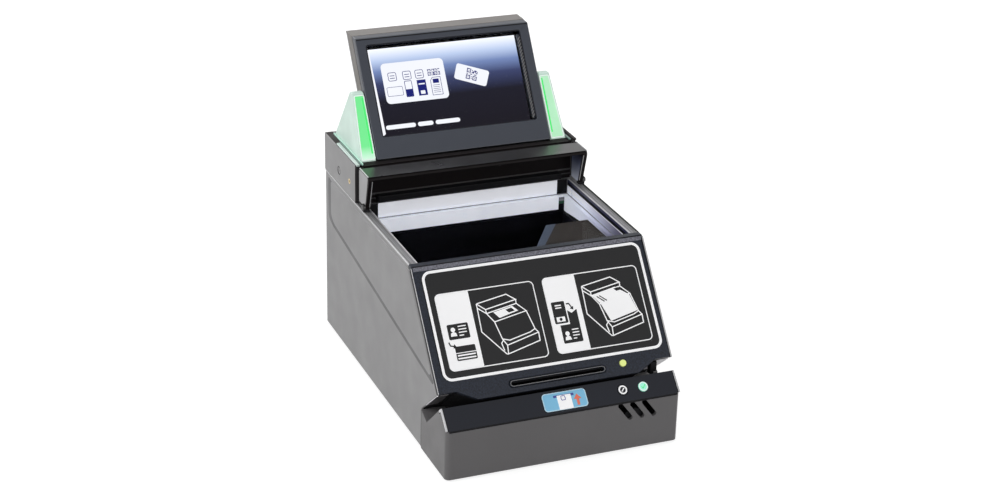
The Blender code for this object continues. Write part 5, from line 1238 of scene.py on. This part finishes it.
def make_channel_ends():
    rise = Vector(SLOPE_TOP) - Vector(SLOPE_FOOT)
    slope = plane_in_side_view(Vector(SLOPE_FOOT) * MM, rise)
    for name, side in (("left", -1), ("right", 1)):
        strip = bmesh.new()
        (inner, low), (outer, high) = SLOPE_STRIP
        ends = sorted((side * inner, side * outer))
        shape = rectangle((ends[0], low), (ends[1], high), 0.4)
        add_prism(strip, slope, millimetres(shape), -SUNK, 0.00015)
        # a painted reflection on the right; the left strip is metal that reflects by itself
        finish_piece(strip, f"channel_strip_{name}", "strip_painted_reflection" if side > 0 else "channel_mirror")
    block = bmesh.new()
    add_prism(block, SIDE, millimetres(BLOCK_SHAPE), BLOCK_SPAN[0] * MM, BLOCK_SPAN[1] * MM)
    finish_piece(block, "channel_block", "inner_black", edge=0.0002)
    roller = bmesh.new()
    add_prism(roller, SIDE, millimetres(circle(*ROLLER)), ROLLER_SPAN[0] * MM, ROLLER_SPAN[1] * MM)
    finish_piece(roller, "channel_roller", "rib_grey", edge=0.0002)


# Plastic along the window's inner walls, above and below the glass, with painted light: the rear linings glow
# evenly, the side linings glow brighter towards the back, and a pale glowing line along each side wall is a
# painted highlight
RIM_TOP = 102.3
RIM_BACK = 150.5
RIM_SIDE = 64.2
RIM_FRONT = 63.5
RIM_SEAM = 143.4
LINER = 0.2
REAR_LINER = 57.2
GLASS_LOW = 92.8
GLASS_TOP = 95.6
WELL_SIDE = 61.2
WELL_BACK = 147.2
WELL_TOP = 92.4
WELL_LOW = 84.0
WELL_FOOT = ((147.2, 82.6), (121.0, 85.6), (88.0, 90.6), (76.0, 92.3))
SIDE_BANDS = (
    ("navy", 100.6, 102.0, "lining_navy"),
    ("dark", 98.7, 100.6, "inner_black"),
    ("line", 98.0, 98.4, "lining_painted_highlight"),
    ("wall", 92.8, 98.0, "wall_painted_light"),
)
CHAMBER_PLATE = ((8.6, 66.6), (39.8, 112.1), (60.7, 112.1), (60.7, 66.6))
PLATE_EDGE = ((4.6, 66.6), (33.8, 112.1), (40.1, 112.1), (8.9, 66.6))
PLATE_EDGE_TOP = 90.95
PLATE_LEVELS = (90.3, 90.8)


def make_window_liners():
    forward = Plane(ORIGIN, Vector((1, 0, 0)), Vector((0, 0, 1)), Vector((0, -1, 0)))
    edge, gap = REAR_LINER, RIM_SIDE - 0.5
    rear_walls = (
        ("window_liner_rear", -edge, edge, GLASS_LOW, RIM_TOP, RIM_BACK, "liner_painted_light"),
        ("window_gap_left", -gap, -edge, GLASS_LOW, RIM_TOP, RIM_BACK, "inner_black"),
        ("window_gap_right", edge, gap, GLASS_LOW, RIM_TOP, RIM_BACK, "inner_black"),
        ("well_lining_rear", -edge, edge, WELL_LOW, WELL_TOP, WELL_BACK, "liner_painted_light"),
    )
    for name, left, right, low, high, wall, finish in rear_walls:
        lining = bmesh.new()
        add_prism(lining, forward, millimetres(rectangle((left, low), (right, high))),
                  -wall * MM - SUNK, (LINER - wall) * MM)
        finish_piece(lining, name, finish)
    for name, side in (("left", -1), ("right", 1)):
        plane = Plane(SIDE.origin, SIDE.across, SIDE.up, SIDE.out * side)
        for part, low, high, finish in SIDE_BANDS:
            band = bmesh.new()
            stretches = [(RIM_FRONT, RIM_SEAM - 0.4), (RIM_SEAM + 0.4, RIM_BACK - 0.5)]
            for start, end in stretches if part == "wall" else [(RIM_FRONT, RIM_BACK - 0.5)]:
                face = millimetres(rectangle((start, low), (end, high)))
                add_prism(band, plane, face, (RIM_SIDE - LINER) * MM, RIM_SIDE * MM + SUNK)
            finish_piece(band, f"window_{part}_{name}", finish)
        well = bmesh.new()
        face = millimetres(((WELL_BACK, WELL_TOP),) + WELL_FOOT)
        add_prism(well, plane, face, (WELL_SIDE - LINER) * MM, WELL_SIDE * MM + SUNK)
        finish_piece(well, f"well_lining_{name}", "well_painted_light")
    plate = bmesh.new()
    add_prism(plate, PLAN, millimetres(CHAMBER_PLATE), PLATE_LEVELS[0] * MM, PLATE_LEVELS[1] * MM)
    finish_piece(plate, "chamber_plate", "chamber_plate")
    edge = bmesh.new()
    add_prism(edge, PLAN, millimetres(PLATE_EDGE), PLATE_LEVELS[0] * MM, PLATE_EDGE_TOP * MM)
    finish_piece(edge, "chamber_plate_edge", "chamber_edge")


# Inner cheeks of the hood's mouth, with painted light: they glow, brightest at the bottom and fading upward
MOUTH_LINING = 0.25
CHEEK_FACE = 66.2
CHEEK = ((149.4, 104.6), (149.4, 122.6), (135.6, 122.6), (140.4, 104.6))


def make_mouth_lining():
    for name, side in (("left", -1), ("right", 1)):
        plane = Plane(SIDE.origin, SIDE.across, SIDE.up, SIDE.out * side)
        cheek = bmesh.new()
        shape = rounded(millimetres(CHEEK), 0.0006)
        add_prism(cheek, plane, shape, (CHEEK_FACE - MOUTH_LINING) * MM, CHEEK_FACE * MM + SUNK)
        finish_piece(cheek, f"hood_cheek_lining_{name}", "cheek_painted_light", "hood")


# Screws and inserts, as (y, z) in millimetres
SIDE_SCREW = (184.7, 111.8)
SIDE_INSERT = (164.8, 112.5)
SCREW_RADIUS = 2.4
SCREW_DEPTH = 0.0009
SLOT_REACH = 1.2
SLOT_WIDTH = 0.5


def cross_cutter(plane, centre, low, high):
    bm = bmesh.new()
    x, y = centre
    reach, half = SLOT_REACH, SLOT_WIDTH / 2
    cross = [(x - reach, y - half), (x - half, y - half), (x - half, y - reach), (x + half, y - reach)]
    cross += [(x + half, y - half), (x + reach, y - half), (x + reach, y + half), (x + half, y + half)]
    cross += [(x + half, y + reach), (x - half, y + reach), (x - half, y + half), (x - reach, y + half)]
    add_prism(bm, plane, millimetres(cross), low, high)
    return bm


def make_screw(name, plane, centre, radius, low, high, finish, body="reader", replaces=()):
    """A pan head with a cross recess, its crown rounded off."""
    bm = bmesh.new()
    steps = 4
    height = high - low
    rings = [(radius, low)]
    for i in range(steps + 1):
        angle = math.pi / 2 * i / steps
        rings.append((radius * (0.72 + 0.28 * math.cos(angle)), high - height * 0.5 * (1 - math.sin(angle))))
    loops = []
    for reach, level in rings:
        loops.append([bm.verts.new(at(plane, p, level)) for p in millimetres(circle(centre, reach))])
    bm.faces.new(loops[0])
    bm.faces.new(loops[-1])
    for lower, upper in zip(loops, loops[1:]):
        for i in range(len(lower)):
            j = (i + 1) % len(lower)
            bm.faces.new((lower[i], lower[j], upper[j], upper[i]))
    bmesh.ops.recalc_face_normals(bm, faces=bm.faces)
    obj = finish_piece(bm, name, finish, body, replaces=replaces)
    carve(obj, cross_cutter(plane, centre, high - height * 0.6, high + height))
    obj.data.materials.clear()
    obj.data.materials.append(FINISH[finish])
    return obj


def make_side_hardware():
    for name, side in (("left", -1), ("right", 1)):
        plane = Plane(SIDE.origin, SIDE.across, SIDE.up, SIDE.out * side)
        node = f"header_screw_{name}"
        make_screw(f"side_screw_{name}", plane, SIDE_SCREW, SCREW_RADIUS - 0.1,
                   HALF - 0.0011, HALF - 0.0001, "screw_grey", replaces=[node])
        ring = bmesh.new()
        add_line(ring, plane, circle(SIDE_SCREW, SCREW_RADIUS), 0.25, 1, HALF, closed=True)
        finish_piece(ring, f"side_screw_ring_{name}", "port_dark")
        recess = bmesh.new()
        # painted shade: the floor of the cross recess drawn black
        add_prism(recess, plane, millimetres(circle(SIDE_SCREW, SLOT_REACH)), HALF - 0.0008, HALF - 0.00045)
        finish_piece(recess, f"side_screw_recess_shade_{name}", "inner_black")
        insert = bmesh.new()
        add_line(insert, plane, circle(SIDE_INSERT, 1.15), 0.7, 2, HALF, closed=True)
        finish_piece(insert, f"side_insert_{name}", "brass")
        # painted shade: the insert's bore drawn as a black disc
        bore = bmesh.new()
        add_prism(bore, plane, millimetres(circle(SIDE_INSERT, 0.85)), HALF - SUNK, HALF + PRINT / 2)
        finish_piece(bore, f"side_insert_bore_shade_{name}", "inner_black")


# Rear panel, display back and underside, in millimetres
BEHIND = Plane(ORIGIN + Vector((0, 0.212, 0)), Vector((-1, 0, 0)), Vector((0, 0, 1)), Vector((0, 1, 0)))
BACK_LEVEL = 0.014
DISPLAY_REAR = Plane(FACE.origin - FACE.out * BACK_LEVEL, -FACE.across, FACE.up, -FACE.out)
UNDER = Plane(ORIGIN, Vector((1, 0, 0)), Vector((0, -1, 0)), Vector((0, 0, -1)))
LOUVRES = (-38.0, 38.0, 66.0, 90.0, 5, 3, 1.1)
DISPLAY_VENTS = (-27.0, 27.0, 36.0, 58.0, 9, 1, 0.9)
TRAY_VENTS = (-30.0, 30.0, -150.0, -110.0, 9, 1, 1.2)
REAR_SCREWS = ((-61.0, 8.0), (61.0, 8.0), (-61.0, 94.0), (61.0, 94.0))
DISPLAY_SCREWS = ((-47.0, 24.0), (47.0, 24.0), (-47.0, 64.0), (47.0, 64.0))
TRAY_SCREWS = ((-56.0, -52.0), (56.0, -52.0), (-56.0, -170.0), (56.0, -170.0))
REAR_PLATE = ((-58.0, 30.0), (-16.0, 54.0))
TRAY_PLATE = ((-26.0, -100.0), (26.0, -68.0))
PORT_FRAMES = (((19.2, 9.7), (31.2, 20.7)), ((-4.5, 9.7), (4.5, 20.7)), ((-38.8, 16.2), (-31.2, 19.8)))


def slots(grid):
    """Rows and columns of round-ended slots; grid is left, right, low, high, across, up and half width."""
    left, right, low, high, across, up, half = grid
    upright = up == 1
    outlines = []
    for column in range(across):
        x = left + (right - left) * column / (across - 1)
        if upright:
            outlines.append(capsule((x, low + half), (x, high - half), half))
            continue
        reach = (right - left) / (across - 1) / 2 - 2 * half
        for row in range(up):
            y = low + (high - low) * row / (up - 1)
            outlines.append(capsule((x - reach, y), (x + reach, y), half))
    return outlines


def add_bare_plate(name, plane, corners, level=0):
    """A plain inset plate with a fine border, where such a machine has its data."""
    low, high = corners
    plate = bmesh.new()
    add_print(plate, plane, rectangle(low, high, 1.5), 2, level)
    finish_piece(plate, name, "plate_pale")
    border = bmesh.new()
    inset = Vector((1.2, 1.2))
    inner = rectangle(Vector(low) + inset, Vector(high) - inset, 1.0)
    add_line(border, plane, inner, 0.3, 3, level, closed=True)
    finish_piece(border, f"{name}_border", "rib_grey")


def make_rear():
    vented = (
        ("rear_panel", "rear_panel_vented", BEHIND, LOUVRES, 0.0014, "grey_case", "reader", EDGE),
        ("display_back", "display_back_vented", DISPLAY_REAR, DISPLAY_VENTS, 0.0012, "display_case",
         "display", 0.0016),
        ("base_tray", "base_tray_vented", UNDER, TRAY_VENTS, 0.0012, "dark_case", "reader", EDGE),
    )
    for node, name, plane, grid, depth, finish, body, edge in vented:
        obj = copy_of(node, name)
        cutter = bmesh.new()
        for outline in slots(grid):
            add_prism(cutter, plane, millimetres(outline), -depth, depth)
        carve(obj, cutter)
        show_for(obj, node, finish, body, edge)
    rows = (
        ("rear_screw", BEHIND, REAR_SCREWS, 2.4, "screw_black", "reader"),
        ("display_screw", DISPLAY_REAR, DISPLAY_SCREWS, 2.0, "screw_black", "display"),
        ("tray_screw", UNDER, TRAY_SCREWS, 2.4, "steel", "reader"),
    )
    for name, plane, places, radius, finish, body in rows:
        for i, place in enumerate(places):
            make_screw(f"{name}_{i + 1}", plane, place, radius, -0.0004, 0.0006, finish, body)
    add_bare_plate("rear_plate", BEHIND, REAR_PLATE)
    add_bare_plate("tray_plate", UNDER, TRAY_PLATE)
    frames = bmesh.new()
    for low, high in PORT_FRAMES:
        edge = Vector((0.9, 0.9))
        shape = rectangle(Vector(low) - edge, Vector(high) + edge, 0.9)
        add_line(frames, BEHIND, shape, 0.6, 3, closed=True)
    finish_piece(frames, "port_frames", "port_dark")


def graded(name, direction, start, end, stops, strength, body=True):
    """A colour that changes along a direction between two distances from the object's zero, in metres."""
    material, nodes, links, shader = new_material(name)
    place = nodes.new("ShaderNodeTexCoord")
    along = nodes.new("ShaderNodeVectorMath")
    along.operation = "DOT_PRODUCT"
    along.inputs[1].default_value = direction
    links.new(place.outputs["Object"], along.inputs[0])
    span = nodes.new("ShaderNodeMapRange")
    span.inputs["From Min"].default_value = start
    span.inputs["From Max"].default_value = end
    links.new(along.outputs["Value"], span.inputs["Value"])
    ramp = nodes.new("ShaderNodeValToRGB")
    while len(ramp.color_ramp.elements) < len(stops):
        ramp.color_ramp.elements.new(0.5)
    for element, (position, colour) in zip(ramp.color_ramp.elements, stops):
        element.position = position
        element.color = (*colour, 1)
    links.new(span.outputs["Result"], ramp.inputs["Fac"])
    if body:
        links.new(ramp.outputs["Color"], shader.inputs["Base Color"])
    else:
        shader.inputs["Base Color"].default_value = (*BLACK, 1)
    links.new(ramp.outputs["Color"], shader.inputs["Emission Color"])
    links.new(spread(nodes, links, noise(nodes, links, 60, 2), 0.45, 0.55), shader.inputs["Roughness"])
    shader.inputs["Emission Strength"].default_value = strength
    shader.inputs["Specular IOR Level"].default_value = 0.05 if body else 0
    return material


SKY = (
    (0.00, (0.0135, 0.0122, 0.0172)),
    (0.40, (0.0150, 0.0145, 0.0230)),
    (0.60, (0.045, 0.055, 0.130)),
    (0.74, (0.160, 0.220, 0.420)),
    (0.86, (0.450, 0.540, 0.740)),
    (1.00, (0.860, 0.880, 0.940)),
)
# Painted light on the window's walls, dark at the front and bright at the back
WALL_PAINTED_LIGHT = (
    (0.00, (0.030, 0.030, 0.045)),
    (0.20, (0.130, 0.130, 0.190)),
    (0.45, (0.420, 0.430, 0.540)),
    (0.70, (0.720, 0.740, 0.830)),
    (1.00, (0.860, 0.880, 0.930)),
)
# Painted light on the hood's inner cheeks, bright at the bottom and dark at the top
CHEEK_PAINTED_LIGHT = (
    (0.00, (0.560, 0.590, 0.680)),
    (0.35, (0.240, 0.260, 0.340)),
    (0.70, (0.080, 0.090, 0.140)),
    (1.00, (0.020, 0.020, 0.030)),
)
STRIP_GLOW = (
    (0.00, (0.720, 0.900, 0.780)),
    (0.10, (0.500, 0.860, 0.600)),
    (0.24, (0.180, 0.780, 0.280)),
    (1.00, (0.170, 0.760, 0.270)),
)


def graded_finishes():
    start = FACE.origin.dot(FACE.up)
    FINISH["screen_sky"] = graded(
        "screen_sky", FACE.up, start + SCREEN_LOW[1] * MM, start + SCREEN_HIGH[1] * MM, SKY, 1.25, False
    )
    FINISH["wing_strip"] = graded("wing_strip", FACE.up, start, start + STRIP_HIGH * MM, STRIP_GLOW, 0.38)
    front, back = ORIGIN.y + RIM_FRONT * MM, ORIGIN.y + RIM_BACK * MM
    # painted light on the window's side walls, the well below the glass and the gasket
    FINISH["wall_painted_light"] = graded("wall_painted_light", (0, 1, 0), front, back, WALL_PAINTED_LIGHT, 0.25)
    FINISH["well_painted_light"] = graded("well_painted_light", (0, 1, 0), front, back, WALL_PAINTED_LIGHT, 0.25)
    low, high = ORIGIN.z + CHEEK[0][1] * MM, ORIGIN.z + CHEEK[1][1] * MM
    # painted light on the hood's inner cheeks
    FINISH["cheek_painted_light"] = graded("cheek_painted_light", (0, 0, 1), low, high, CHEEK_PAINTED_LIGHT, 0.10)


graded_finishes()

dress_nodes()
make_side_covers()
make_label()
make_badge()
make_screen()
make_wings()
make_deck_edges()
make_window_liners()
make_mouth_lining()
make_header()
make_hood_top()
make_hood_cheeks()
make_edge_lines()
make_front_bands()
make_rail_lines()
make_channel_ends()
make_side_hardware()
make_rear()
make_camera()
make_studio()
